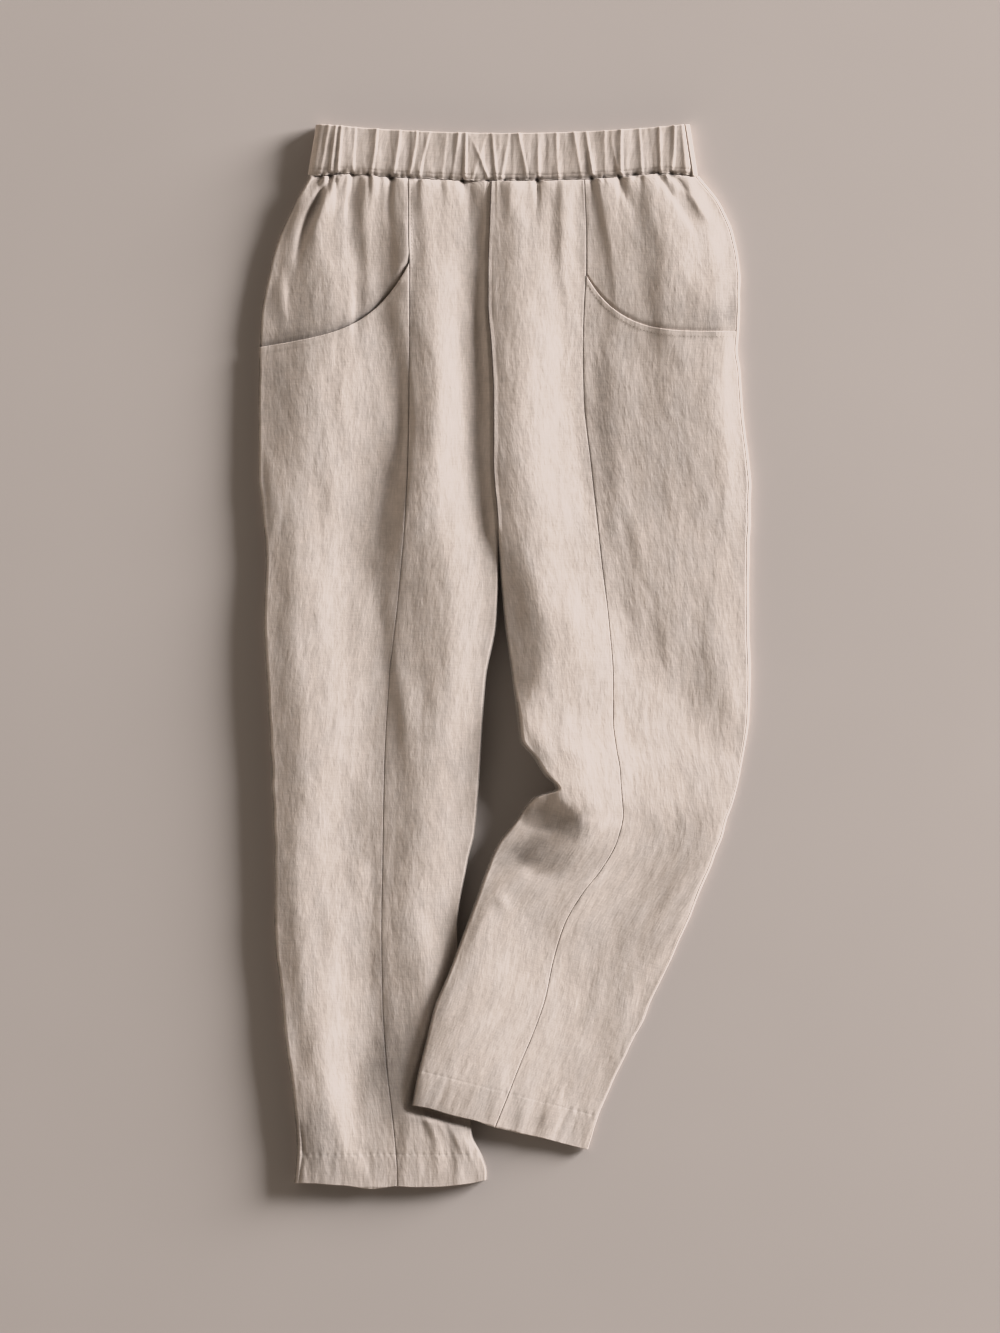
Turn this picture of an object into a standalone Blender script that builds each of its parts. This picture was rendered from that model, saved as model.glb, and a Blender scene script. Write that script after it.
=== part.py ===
"""Linen trousers with an elasticated waist, laid flat on their back.

The wearer's left is +X, the waist points to +Y and the front faces +Z. The origin is the middle of
the garment's outline, on the surface it lies on. Tables are in millimetres and degrees.

Each leg is a flattened tube. Its sections cross the long front seam, and each section is one ring:
a flat lower run, a rolled side edge, an upper run with the folds, and a rolled inner edge. The cut
pieces are parts of those rings, side by side, so they meet along the seams with a small gap.
"""

from typing import NamedTuple
import math

import bmesh
import bpy
import numpy as np

MM = 0.001

# Driving dimensions, in millimetres.
LENGTH = 957.0          # top of the waist to the lowest hem
CLOTH = 1.2             # wall of a single panel
HEM_CLOTH = 1.7         # wall where the hem is turned up
HEM_DEPTH = 30.0        # height of that turn-up
CASING = 2.0            # wall of the waistband, cloth over elastic
SEAM_GAP = 0.5          # between two pieces that are sewn edge to edge
WAIST_GAP = 1.1         # between the waistband and the gathered panels
TUCK = 2.2              # how far the hip panel drops to pass under the pocket mouth
TUCK_LENGTH = 20.0      # how far it runs on below the mouth
TUCK_EASE = 25.0        # length over which it drops
TUCK_BEFORE = 3.0       # how far above the mouth it is fully down
CROTCH = 358.0          # below the waist top
CROTCH_BLEND = 45.0     # length over which the inner edges roll down below the crotch
LEG_LIFT = 7.4          # height of the left shin's underside, where it crosses the right leg
LIFT_RAMP = 38.0        # how far beside the right leg the left one comes down to the surface
LIFT_FROM = 640.0       # where the left leg starts to rise
LIFT_FULL = 715.0       # where it is fully raised
PRESSED = 4.8           # height of the right leg's upper wall where the left shin lies on it
PRESS_START = (-30.0, 700.0)    # where the left shin's inner edge comes onto it: across and down
PRESS_CORNER = (-84.0, 882.0)   # and the inner corner of the left hem
HEM_SLANT = 0.26        # how much lower the left hem runs, for each step away from that corner
PRESS_MARGIN = 24.0     # how far outside that edge the cloth starts to sink
PRESS_EASE = 30.0       # width over which it sinks
ROLL_RATIO = 1.3        # width of a rolled edge over its half height
ROLL_SHARE = 0.3        # most of a section's half that its rolled edge may take
WAIST_FADE = 70.0       # length over which the rows stop following the curved waist seam
HEM_FADE = 60.0         # and that over which they start to follow the curved hem
BELOW_POCKET = 248.0    # rows from here down run straight across the leg

TOP_EDGE = LENGTH / 2.0
LOW = CLOTH / 2.0       # middle of the lower wall

# The waistband: its two ends, its curved edges and its height.
BAND_RIGHT = -169.0     # the wearer's right end, at the top edge
BAND_LEFT = 165.0       # the wearer's left end
BAND_FLARE = 7.5        # how much further out each end is at the foot
BAND_REACH = 165.0      # half the span of the curved edges
TOP_SAG = 8.0           # the top edge sags in the middle
FOOT_DOWN = 42.5        # the foot seam, near the ends
FOOT_SAG = 7.0          # and how much lower it is in the middle
END_DROP = 5.0          # the foot seam turns down again at each end
END_FROM = 0.85         # where it starts to, as a share of the reach
END_RUN = 0.2           # and the share of the reach over which it does
BAND_LOFT = 12.4        # height of the middle of the band's upper wall
BAND_LOW = CASING / 2.0
BAND_ROLL = 0.4         # width of its rolled ends over its height, before the roll ratio
BAND_LEVELS = (0.0, 0.2, 0.6, 1.0)     # rows of the band, from its top edge to its foot
BACK_GATHERS = 26
BACK_GATHER_RISE = 0.8
BACK_GATHER_LENGTH = 55.0
BACK_WANDER = ((0.35, 23.0), (0.2, 9.0))    # shares of a pitch they stray by, and over what length
PINCH_AT_TOP = 0.65     # a front gather's depth at the top edge, over that at the foot
PINCH_BELOW = 0.8       # its depth in the panels just below the seam, over that at the foot
PINCH_LENGTH = 9.0      # how far it runs on below the seam

# How finely the pieces are divided.
NEAR_WAIST = {54.0, 62.0, 84.0, 114.0}      # more rows where the folds start
FRONT_COLUMNS = 9
SIDE_COLUMNS = 10
HIP_COLUMNS = 2 * SIDE_COLUMNS      # every second one meets a column of the side panel
BACK_COLUMNS = 4
HALF_ROLL = 4                       # columns round a rolled edge that stops half way
FULL_ROLL = 7                       # and round one that the back wraps over
INNER_TURNS = (35.0, 62.0, 80.0)    # columns of the front round the inner edge
SEAM_ANGLE = 11.0                   # half the gap of a seam on a rolled edge, round that edge
FRONT_TURN_MOST = 45.0              # an upper panel that turns less than this takes one column
UNDER_TURN = 90.0                   # a side seam beyond this lies on the lower half of the edge
GATHER_FLANK = 0.9                  # where a gather's two flank columns lie, over its width


class LegRow(NamedTuple):
    """One section across a leg."""

    down: float         # below the waist top, where the section crosses the long front seam
    seam: float         # the long seam's place, towards the wearer's left of the middle
    lean: float         # how far the section's outer end drops, in degrees
    side: float         # from the long seam out to the side edge
    inner: float        # from the long seam in to the centre seam, or to the inner leg edge


RIGHT_ROWS = (
    LegRow(48, -87, 0, 90, 75),
    LegRow(72, -87, 0, 102, 74),
    LegRow(99, -87, 0, 115, 73),
    LegRow(129, -86, 0, 125, 71),
    LegRow(162, -86, 0, 132, 71),
    LegRow(200, -86, 0, 135, 74),
    LegRow(248, -86, 0, 135, 76),
    LegRow(303, -87, 0, 135, 77),
    LegRow(358, -90, 0, 127, 84),
    LegRow(395, -93, 0, 122, 88),
    LegRow(445, -98, 0, 119, 90),
    LegRow(535, -107, 0, 105, 87),
    LegRow(598, -109, 0, 100, 86),
    LegRow(661, -110, 0, 97, 77),
    LegRow(724, -111, 0, 96, 69),
    LegRow(787, -110, 0, 91, 70),
    LegRow(841, -107, 0, 88, 71),
    LegRow(886, -102, 0, 87, 71),
    LegRow(922, -98, 0, 89, 75),
    LegRow(956, -97, 0, 93, 77),
)

LEFT_ROWS = (
    LegRow(48, 71, 0, 103, 83),
    LegRow(72, 72, 0, 121, 85),
    LegRow(99, 73, 0, 132, 87),
    LegRow(129, 73, 0, 137, 88),
    LegRow(162, 71, 0, 140, 86),
    LegRow(200, 70, 0, 139, 82),
    LegRow(248, 71, 0, 142, 81),
    LegRow(303, 77, 0, 142, 87),
    LegRow(358, 83, 0, 137, 89),
    LegRow(395, 87, 0, 132, 92),
    LegRow(445, 93, 1, 126, 94),
    LegRow(500, 97, 2, 123, 91),
    LegRow(536, 97, 4, 121, 87),
    LegRow(562, 100, 6, 113, 88),
    LegRow(579, 103, 7, 107, 78),
    LegRow(594, 104, 9, 102, 71),
    LegRow(607, 105, 10, 96, 61),
    LegRow(619, 106, 10, 92, 82),
    LegRow(643, 101, 11, 88, 93),
    LegRow(669, 87, 12, 91, 97),
    LegRow(692, 69, 13, 99, 89),
    LegRow(720, 53, 14, 102, 83),
    LegRow(753, 43, 14.5, 96, 85),
    LegRow(786, 36, 14.6, 89, 90),
    LegRow(815, 26, 14.6, 85, 92),
    LegRow(846, 13, 14.6, 83, 87),
    LegRow(874, 2, 14.6, 82, 83),
    LegRow(901, -9, 14.6, 85, 77),
)


class LoftRow(NamedTuple):
    """How high the upper cloth lies between its folds."""

    down: float
    height: float


LOFT_ROWS = (
    LoftRow(0, 12.4),
    LoftRow(48, 12.0),
    LoftRow(130, 11.6),
    LoftRow(250, 11.2),
    LoftRow(400, 11.4),
    LoftRow(600, 11.8),
    LoftRow(760, 11.0),
    LoftRow(900, 9.4),
    LoftRow(960, 8.6),
)


class Fold(NamedTuple):
    """A soft ridge, or a trough where the rise is below zero, along a straight line."""

    start_across: float     # towards the wearer's left of the middle
    start_down: float       # below the waist top
    end_across: float
    end_down: float
    width: float            # from its crest to where it has mostly died away
    start_rise: float
    end_rise: float


FOLDS = (
    # Right hip, fanning out from the gathered seam.
    Fold(-161, 46, -186, 108, 5, -3.6, -1.5),
    Fold(-195, 115, -197, 176, 6, 1.4, 1.0),
    Fold(-143, 46, -160, 90, 6, 2.6, 1.6),
    Fold(-157, 100, -145, 160, 9, 1.6, 1.2),
    Fold(-126, 46, -137, 76, 4, -3.6, -1.0),
    Fold(-114, 52, -120, 132, 7, 3.0, 1.6),
    Fold(-102, 48, -102, 124, 6, -3.6, -1.6),
    # Centre front, right half: a long ridge beside the deep trough along the centre seam.
    Fold(-52, 50, -50, 330, 16, 4.2, 3.6),
    Fold(-47, 338, -14, 412, 13, 2.6, 1.6),
    Fold(-24, 55, -19, 350, 8, -3.0, -2.2),
    # Centre front, left half.
    Fold(12, 66, 17, 200, 12, 2.8, 2.0),
    Fold(57, 230, 60, 420, 20, 2.4, 1.8),
    Fold(29, 50, 29, 88, 5, -2.6, -0.8),
    Fold(50, 50, 50, 150, 7, -3.0, -0.8),
    # Left hip, fanning out.
    Fold(85, 48, 92, 115, 6, -3.6, -1.6),
    Fold(103, 52, 106, 112, 7, 2.6, 1.2),
    Fold(120, 48, 139, 98, 6, -3.6, -2.4),
    Fold(139, 102, 132, 180, 8, -2.2, -1.0),
    Fold(144, 66, 166, 121, 9, 2.2, 1.4),
    Fold(149, 46, 183, 88, 5, -3.4, -1.0),
    # Right leg.
    Fold(-157, 210, -155, 560, 20, 2.2, 1.6),
    Fold(-94, 284, -120, 376, 10, -1.8, -1.0),
    Fold(-48, 440, -62, 660, 17, 1.8, 0.9),
    Fold(-157, 800, -150, 884, 14, 1.8, 1.6),
    Fold(-150, 884, -128, 916, 12, 1.0, 0.8),
    Fold(-112, 915, -112, 960, 38, 1.4, 3.4),
    # Left leg, bent at the knee, where a crease runs in from the notch of the inner edge.
    Fold(205, 250, 204, 470, 12, 1.6, 1.2),
    Fold(166, 350, 168, 420, 16, 1.6, 1.2),
    Fold(96, 339, 124, 468, 11, -1.4, -0.8),
    Fold(38, 566, 88, 592, 18, 2.6, 1.4),
    Fold(48, 603, 92, 624, 8, -2.4, -0.8),
    Fold(52, 640, 30, 676, 15, 1.2, 1.6),
    Fold(150, 630, 118, 716, 14, -1.2, -0.8),
    Fold(12, 706, -2, 760, 17, 1.8, 1.4),
    Fold(92, 560, 96, 640, 12, 1.6, 1.2),
    Fold(62, 780, 40, 880, 16, 1.2, 0.8),
    Fold(30, 880, 24, 925, 34, 1.4, 3.6),
)


class Gather(NamedTuple):
    """A pinch in the front of the waistband, running from its top edge to its foot."""

    top: float
    foot: float
    depth: float
    width: float


GATHERS = (
    Gather(-162, -166, 1.2, 2.6),
    Gather(-153, -155, 2.4, 3.0),
    Gather(-136, -138, 1.3, 4.0),
    Gather(-113, -122, 2.1, 3.2),
    Gather(-96, -103, 2.1, 3.4),
    Gather(-81, -89, 2.4, 2.8),
    Gather(-69, -77, 1.6, 3.2),
    Gather(-54, -58, 1.3, 3.6),
    Gather(-44, -47, 1.4, 2.8),
    Gather(-35, -37, 2.5, 2.6),
    Gather(-24, -21, 1.6, 3.6),
    Gather(-12, -7, 2.4, 2.6),
    Gather(3, 0, 2.2, 2.8),
    Gather(16, 17, 1.4, 3.6),
    Gather(29, 29, 2.6, 2.6),
    Gather(45, 49, 1.8, 4.0),
    Gather(63, 65, 1.4, 3.4),
    Gather(74, 78, 2.6, 2.8),
    Gather(89, 89, 1.2, 3.0),
    Gather(104, 104, 2.4, 2.8),
    Gather(121, 123, 2.0, 3.2),
    Gather(139, 139, 2.5, 2.8),
    Gather(149, 149, 2.0, 2.8),
)


class Side(NamedTuple):
    """What tells one half of the garment from the other."""

    name: str
    sign: int               # -1 on the wearer's right, +1 on the left
    rows: tuple
    side_turn: float        # where the side seam lies round the rolled edge, 0 on top, 180 below
    mouth_top: float        # the pocket mouth where it leaves the long seam
    mouth_depth: float      # and how much lower it reaches the side
    mouth_tilt: float       # how much of that depth is an even slant
    hem_sag: float          # how much lower the middle of the hem is


RIGHT = Side("right", -1, RIGHT_ROWS, 112.0, 125.0, 75.0, 0.3, 4.0)
LEFT = Side("left", 1, LEFT_ROWS, 16.0, 136.0, 50.0, 0.0, 0.0)
MOUTH_POWER = 4.2           # how soon the curved mouth levels out

# Colours of the natural cloth, a little apart so that neighbouring pieces can be told from each other.
LINEN = (0.61, 0.53, 0.45)
SHADES = {
    "waistband_front": 1.00,
    "waistband_back": 0.92,
    "front_right": 1.04,
    "front_left": 1.02,
    "side_right": 0.97,
    "side_left": 0.98,
    "hip_right": 0.93,
    "hip_left": 0.94,
    "back_right": 0.90,
    "back_left": 0.91,
}


def ease(value):
    """Rise smoothly from 0 to 1 as the value does."""
    value = np.clip(value, 0.0, 1.0)
    return value * value * (3.0 - 2.0 * value)


def smooth(rows, value, at):
    """Read one value of a table at any place, as a curve that never overshoots its rows."""
    place = np.array([row[0] for row in rows], float)
    level = np.array([value(row) for row in rows], float)
    step = np.diff(place)
    slope = np.diff(level) / step
    tangent = np.zeros(len(place))
    same_way = slope[:-1] * slope[1:] > 0.0
    both = np.where(same_way, slope[:-1] * slope[1:], 0.0)
    tangent[1:-1] = 2.0 * both / np.where(same_way, slope[:-1] + slope[1:], 1.0)
    tangent[0] = slope[0]
    tangent[-1] = slope[-1]
    at = np.asarray(at, float)
    index = np.clip(np.searchsorted(place, at) - 1, 0, len(step) - 1)
    run = step[index]
    t = np.clip((at - place[index]) / run, 0.0, 1.0)
    start = level[index] * (1.0 + 2.0 * t) * (1.0 - t) ** 2 + run * tangent[index] * t * (1.0 - t) ** 2
    end = level[index + 1] * t * t * (3.0 - 2.0 * t) + run * tangent[index + 1] * t * t * (t - 1.0)
    return start + end


def top_line(across):
    """The waistband's top edge, below the waist top."""
    return TOP_SAG * np.clip(1.0 - (across / BAND_REACH) ** 2, 0.0, 1.0)


def foot_line(across):
    """The seam between the waistband and the panels."""
    sag = FOOT_SAG * (1.0 - (across / BAND_REACH) ** 2)
    ends = END_DROP * ease((np.abs(across) / BAND_REACH - END_FROM) / END_RUN)
    return FOOT_DOWN + sag + ends


def folds(across, down):
    """Sum of all ridges and troughs at a place on the front."""
    rise = np.zeros_like(across)
    for fold in FOLDS:
        run = np.array([fold.end_across - fold.start_across, fold.end_down - fold.start_down], float)
        length = np.hypot(*run)
        run /= length
        offset_across = across - fold.start_across
        offset_down = down - fold.start_down
        along = offset_across * run[0] + offset_down * run[1]
        beside = offset_across * run[1] - offset_down * run[0]
        inside = np.clip(along, 0.0, length)
        past = (along - inside) / (2.0 * fold.width)
        height = fold.start_rise + (fold.end_rise - fold.start_rise) * inside / length
        rise += height * np.exp(-(beside / fold.width) ** 2 - past ** 2)
    return rise


def pinches(across, drop):
    """The waistband's gathers at a place across it, from its top edge (0) to its foot (1)."""
    rise = np.zeros_like(across)
    for gather in GATHERS:
        middle = gather.top + (gather.foot - gather.top) * drop
        rise -= gather.depth * np.exp(-((across - middle) / gather.width) ** 2)
    return rise * (PINCH_AT_TOP + (1.0 - PINCH_AT_TOP) * drop)


def back_gathers(across):
    """Ridges of the gathered back, which stand up from the surface between flat runs."""
    pitch = (BAND_LEFT - BAND_RIGHT) / BACK_GATHERS
    stray = sum(share * np.sin(across / length) for share, length in BACK_WANDER)
    phase = (across - BAND_RIGHT) / pitch + stray
    return BACK_GATHER_RISE * np.clip(np.sin(math.pi * phase), 0.0, 1.0) ** 2


def back_height(across, down):
    """How far the lower wall stands off the surface, at its gathers."""
    return back_gathers(across) * (1.0 - ease((down - FOOT_DOWN) / BACK_GATHER_LENGTH))


def pressing(across, down):
    """How fully the left shin presses the right leg at a place, from 0 to 1."""
    slant = (PRESS_CORNER[0] - PRESS_START[0]) / (PRESS_CORNER[1] - PRESS_START[1])
    edge = PRESS_START[0] + slant * (down - PRESS_START[1])
    hem = PRESS_CORNER[1] + HEM_SLANT * (across - PRESS_CORNER[0])
    under = ease((across - edge + PRESS_MARGIN) / PRESS_EASE)
    return under * (1.0 - ease((down - hem) / PRESS_EASE))


def front_height(side, across, down):
    """Height of the upper wall's middle above the surface."""
    near_band = np.exp(-((down - foot_line(across)) / PINCH_LENGTH) ** 2)
    loft = smooth(LOFT_ROWS, lambda row: row.height, down)
    height = loft + folds(across, down) + PINCH_BELOW * pinches(across, 1.0) * near_band
    if side.sign > 0:
        return height
    return height + (PRESSED - height) * pressing(across, down)


def seam_place(side, down):
    """Where the long front seam lies."""
    return smooth(side.rows, lambda row: row.seam, down)


def inner_place(side, down):
    """Where a section's inner end would lie if it didn't lean. The halves share it down the centre."""
    return smooth(side.rows, lambda row: row.seam - side.sign * row.inner, down)


def section_width(side, down, outwards):
    """From the long seam to the side edge, or to the inner end."""
    if outwards > 0:
        return smooth(side.rows, lambda row: row.side, down)
    return side.sign * (seam_place(side, down) - inner_place(side, down))


def leg_lift(side, across, down):
    """How far the left leg is raised, to lie over the right one."""
    if side.sign < 0:
        return np.zeros_like(across)
    beside = (across - inner_place(RIGHT, down)) / LIFT_RAMP
    return LEG_LIFT * (1.0 - ease(beside)) * ease((down - LIFT_FROM) / (LIFT_FULL - LIFT_FROM))


def mouth(side, share):
    """The pocket mouth below the waist top, at a share of the way from the long seam to the side."""
    curve = 1.0 - (1.0 - np.clip(share, 0.0, 1.0)) ** MOUTH_POWER
    return side.mouth_top + side.mouth_depth * ((1.0 - side.mouth_tilt) * curve + side.mouth_tilt * share)


def on_section(side, across, down):
    """World place of a point measured outwards from the long seam, along its section."""
    lean = np.radians(smooth(side.rows, lambda row: row.lean, down))
    x = seam_place(side, down) + side.sign * across * np.cos(lean)
    y = TOP_EDGE - down - across * np.sin(lean)
    return x, y


def ring(side, down, share, turn, outwards, drop, inset, upper):
    """Points of the leg's ring: a share of the way to an edge, then round that edge.

    Args:
        side: the half of the garment.
        down: where the section crosses the long seam.
        share: 0 at the long seam, 1 where the edge starts to roll.
        turn: angle round the rolled edge, 0 on top, 180 below.
        outwards: +1 to the side edge, -1 to the centre or the inner leg.
        drop: how much of the roll is there, 0 on a flat seam, 1 on an edge.
        inset: how far inside the ring the wall lies.
        upper: whether the wall belongs to the upper run.
    """
    width = section_width(side, down, outwards)
    if outwards < 0:
        width = width - SEAM_GAP / 2.0 - drop * CLOTH / 2.0
    edge_x, edge_y = on_section(side, outwards * width, down)
    edge_down = TOP_EDGE - edge_y
    edge_low = LOW + leg_lift(side, edge_x, edge_down) + back_height(edge_x, edge_down)
    edge_top = front_height(side, edge_x, edge_down) + leg_lift(side, edge_x, edge_down)
    roll = np.minimum(ROLL_RATIO * (edge_top - edge_low) / 2.0, ROLL_SHARE * width)
    flat = SEAM_GAP / 2.0 + share * (width - roll - SEAM_GAP / 2.0)
    across = outwards * (flat + (roll - inset) * np.sin(np.radians(turn)))
    x, y = on_section(side, across, down)
    start_x, start_y = on_section(side, outwards * flat, down)
    start_down = TOP_EDGE - start_y
    lift = leg_lift(side, start_x, start_down)
    low = LOW + lift + back_height(start_x, start_down)
    top = front_height(side, start_x, start_down) + lift
    half = (top - low) / 2.0 - inset
    if upper:
        z = top - inset - drop * half * (1.0 - np.cos(np.radians(turn)))
    else:
        z = low + inset + drop * half * (1.0 + np.cos(np.radians(turn)))
    return x, y, z


def waist_shift(side, share, down, outwards):
    """Move the first rows so that the panels start along the curved foot of the waistband."""
    x, _ = on_section(side, outwards * share * section_width(side, down, outwards), down)
    first = side.rows[0].down
    fade = 1.0 - ease((down - first) / WAIST_FADE)
    return down + fade * (foot_line(x) + WAIST_GAP / 2.0 - first)


def hem_shift(side, share, down):
    """Round the hem a little, lower in the middle than at its edges."""
    last = side.rows[-1].down
    fade = ease((down - last + HEM_FADE) / HEM_FADE)
    return down - fade * side.hem_sag * np.clip(share, 0.0, 1.0) ** 2


def columns(flat_count, turns):
    """Shares and turns of a run of columns: a flat run, then those round a rolled edge."""
    share = np.concatenate([np.linspace(0.0, 1.0, flat_count + 1), np.ones(len(turns))])
    turn = np.concatenate([np.zeros(flat_count + 1), np.array(turns, float)])
    return share, turn


def crotch_drop(down):
    """0 above the crotch, where the halves are sewn together, and 1 down the inner leg."""
    return ease((down - CROTCH) / CROTCH_BLEND)


def leg_levels(side):
    """Every piece's rows along the long seam: the table's own, and more where the folds are close."""
    own = {float(row.down) for row in side.rows}
    return np.array(sorted(own | NEAR_WAIST | {side.mouth_top}))


def squeezed(levels, first, last, new_first, new_last):
    """Move rows that lie from first to last at the long seam to lie between two other places."""
    share = (levels[:, None] - first) / (last - first)
    return new_first + share * (new_last - new_first)


def front_points(side):
    """The centre front panel, from the long seam to the centre seam or the inner leg."""
    share, turn = columns(FRONT_COLUMNS, INNER_TURNS)
    down, share = np.meshgrid(leg_levels(side), share, indexing="ij")
    turn = np.broadcast_to(turn, down.shape)
    down = hem_shift(side, share, waist_shift(side, share, down, -1))
    return ring(side, down, share, turn, -1, crotch_drop(down), 0.0, True)


def side_turns(side):
    """Columns of an upper panel round the side edge, up to just short of the side seam."""
    last = side.side_turn - SEAM_ANGLE
    if last < FRONT_TURN_MOST:
        return (last,)
    return tuple(np.linspace(0.0, last, HALF_ROLL + 1)[1:])


def side_points(side):
    """The side front panel, from the pocket mouth down to the hem."""
    share, turn = columns(SIDE_COLUMNS, side_turns(side))
    levels = leg_levels(side)
    near = levels[(levels >= side.mouth_top) & (levels <= BELOW_POCKET)]
    far = levels[levels > BELOW_POCKET]
    curved = squeezed(near, side.mouth_top, BELOW_POCKET, mouth(side, share)[None, :], BELOW_POCKET)
    down = np.concatenate([curved, np.repeat(far[:, None], len(share), axis=1)])
    share = np.broadcast_to(share, down.shape)
    turn = np.broadcast_to(turn, down.shape)
    return ring(side, hem_shift(side, share, down), share, turn, 1, 1.0, 0.0, True)


def hip_points(side):
    """The hip panel, from the waistband down to its tuck under the pocket mouth."""
    share, turn = columns(HIP_COLUMNS, side_turns(side))
    levels = leg_levels(side)
    first = levels[0]
    end = mouth(side, share)[None, :]
    down = squeezed(levels[levels <= side.mouth_top], first, side.mouth_top, first, end)
    down = np.concatenate([down, end + TUCK_LENGTH])
    share = np.broadcast_to(share, down.shape)
    turn = np.broadcast_to(turn, down.shape)
    inset = TUCK * ease((down - end + TUCK_BEFORE + TUCK_EASE) / TUCK_EASE)
    return ring(side, waist_shift(side, share, down, 1), share, turn, 1, 1.0, inset, True)


def back_points(side):
    """The back panel, flat on the surface, from the inner edge round to the side seam."""
    levels = leg_levels(side)
    inner_turn = np.array([180.0 - turn for turn in reversed(INNER_TURNS)])
    side_last = side.side_turn + SEAM_ANGLE
    side_turn = np.linspace(180.0, side_last, HALF_ROLL if side_last > UNDER_TURN else FULL_ROLL)
    flat = np.linspace(0.0, 1.0, BACK_COLUMNS, endpoint=False)
    resting = np.full(BACK_COLUMNS, 180.0)
    inner_share = np.concatenate([np.ones(len(inner_turn)), 1.0 - flat])
    inner_turns = np.concatenate([inner_turn, resting])
    outer_share = np.concatenate([flat, np.ones(len(side_turn))])
    outer_turns = np.concatenate([resting, side_turn])
    parts = []
    for share, turn, outwards in ((inner_share, inner_turns, -1), (outer_share, outer_turns, 1)):
        down, shares = np.meshgrid(levels, share, indexing="ij")
        turns = np.broadcast_to(turn, down.shape)
        down = waist_shift(side, shares, down, outwards)
        down = hem_shift(side, shares, down)
        drop = crotch_drop(down) if outwards < 0 else 1.0
        parts.append(ring(side, down, shares, turns, outwards, drop, 0.0, False))
    return tuple(np.concatenate([near, far], axis=1) for near, far in zip(*parts))


def gather_columns(ends, middles, widths):
    """Places across the band: three to each gather, one between neighbours, and its two ends."""
    places = [ends[0], ends[1]]
    for middle, width in zip(middles, widths):
        flank = GATHER_FLANK * width
        places += [middle - flank, middle, middle + flank]
    right_of = middles[:-1] + GATHER_FLANK * widths[:-1]
    left_of = middles[1:] - GATHER_FLANK * widths[1:]
    places += list((right_of + left_of) / 2.0)
    return np.sort(places)


def waistband_points(upper):
    """The waistband's front or back half, from one side seam to the other."""
    roll = ROLL_RATIO * BAND_ROLL * (BAND_LOFT - BAND_LOW)
    top_ends = np.array([BAND_RIGHT + roll, BAND_LEFT - roll])
    foot_ends = top_ends + np.array([-BAND_FLARE, BAND_FLARE])
    if upper:
        widths = np.array([gather.width for gather in GATHERS])
        top = gather_columns(top_ends, np.array([gather.top for gather in GATHERS]), widths)
        foot = gather_columns(foot_ends, np.array([gather.foot for gather in GATHERS]), widths)
        right_turns = np.linspace(RIGHT.side_turn - SEAM_ANGLE, 0.0, HALF_ROLL + 1)[:-1]
        left_turns = np.array([LEFT.side_turn - SEAM_ANGLE])
        resting = 0.0
    else:
        top = np.linspace(*top_ends, 3 * BACK_GATHERS)
        foot = np.linspace(*foot_ends, 3 * BACK_GATHERS)
        right_turns = np.linspace(RIGHT.side_turn + SEAM_ANGLE, 180.0, HALF_ROLL)[:-1]
        left_turns = np.linspace(180.0, LEFT.side_turn + SEAM_ANGLE, FULL_ROLL)[1:]
        resting = 180.0
    right, left = len(right_turns), len(left_turns)
    turn = np.radians(np.concatenate([right_turns, np.full(len(top), resting), left_turns]))
    end = np.concatenate([-np.ones(right), np.zeros(len(top)), np.ones(left)])
    top = np.pad(top, (right, left), mode="edge")
    foot = np.pad(foot, (right, left), mode="edge")
    drop = np.array(BAND_LEVELS)[:, None]
    start = top + (foot - top) * drop
    across = start + end * roll * np.sin(turn)
    upper_edge = top_line(across)
    down = upper_edge + drop * (foot_line(across) - WAIST_GAP / 2.0 - upper_edge)
    highest = BAND_LOFT + pinches(start, drop)
    lowest = BAND_LOW + back_gathers(start)
    half = (highest - lowest) / 2.0
    z = highest - half * (1.0 - np.cos(turn)) if upper else lowest + half * (1.0 + np.cos(turn))
    return across, TOP_EDGE - down, z


def sheet(parts, name, points, wall, hem=False):
    """Make one cut piece: a grid laid over its points and given the thickness of its cloth.

    Args:
        parts: the garment's collection.
        name: the piece's name.
        points: x, y and z in millimetres, as arrays of rows by columns, seen from above.
        wall: thickness of the piece.
        hem: whether its last rows are the turned-up hem, which is thicker.
    """
    x, y, z = points
    row_count, column_count = x.shape
    turned_up = (y - y[-1] < HEM_DEPTH) & hem
    z = z + turned_up * (HEM_CLOTH - wall) / 2.0
    mesh = bpy.data.meshes.new(name)
    grid = bmesh.new()
    bmesh.ops.create_grid(grid, x_segments=column_count - 1, y_segments=row_count - 1, size=1.0)
    grid.verts.ensure_lookup_table()
    column_of = [round((vert.co.x + 1.0) / 2.0 * (column_count - 1)) for vert in grid.verts]
    row_of = [round((vert.co.y + 1.0) / 2.0 * (row_count - 1)) for vert in grid.verts]
    for vert, column, row in zip(grid.verts, column_of, row_of):
        vert.co = (x[row, column] * MM, y[row, column] * MM, z[row, column] * MM)
    bmesh.ops.recalc_face_normals(grid, faces=grid.faces)
    grid.to_mesh(mesh)
    grid.free()
    obj = bpy.data.objects.new(name, mesh)
    parts.objects.link(obj)
    solidify = obj.modifiers.new("Cloth", "SOLIDIFY")
    solidify.thickness = wall * MM
    solidify.offset = 0.0
    if hem:
        group = obj.vertex_groups.new(name="hem")
        solidify.vertex_group = "hem"
        solidify.thickness = HEM_CLOTH * MM
        solidify.thickness_vertex_group = wall / HEM_CLOTH
        for index, (column, row) in enumerate(zip(column_of, row_of)):
            if turned_up[row, column]:
                group.add([index], 1.0, "REPLACE")
    mesh.shade_smooth()
    mesh.materials.append(linen(name))


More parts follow.
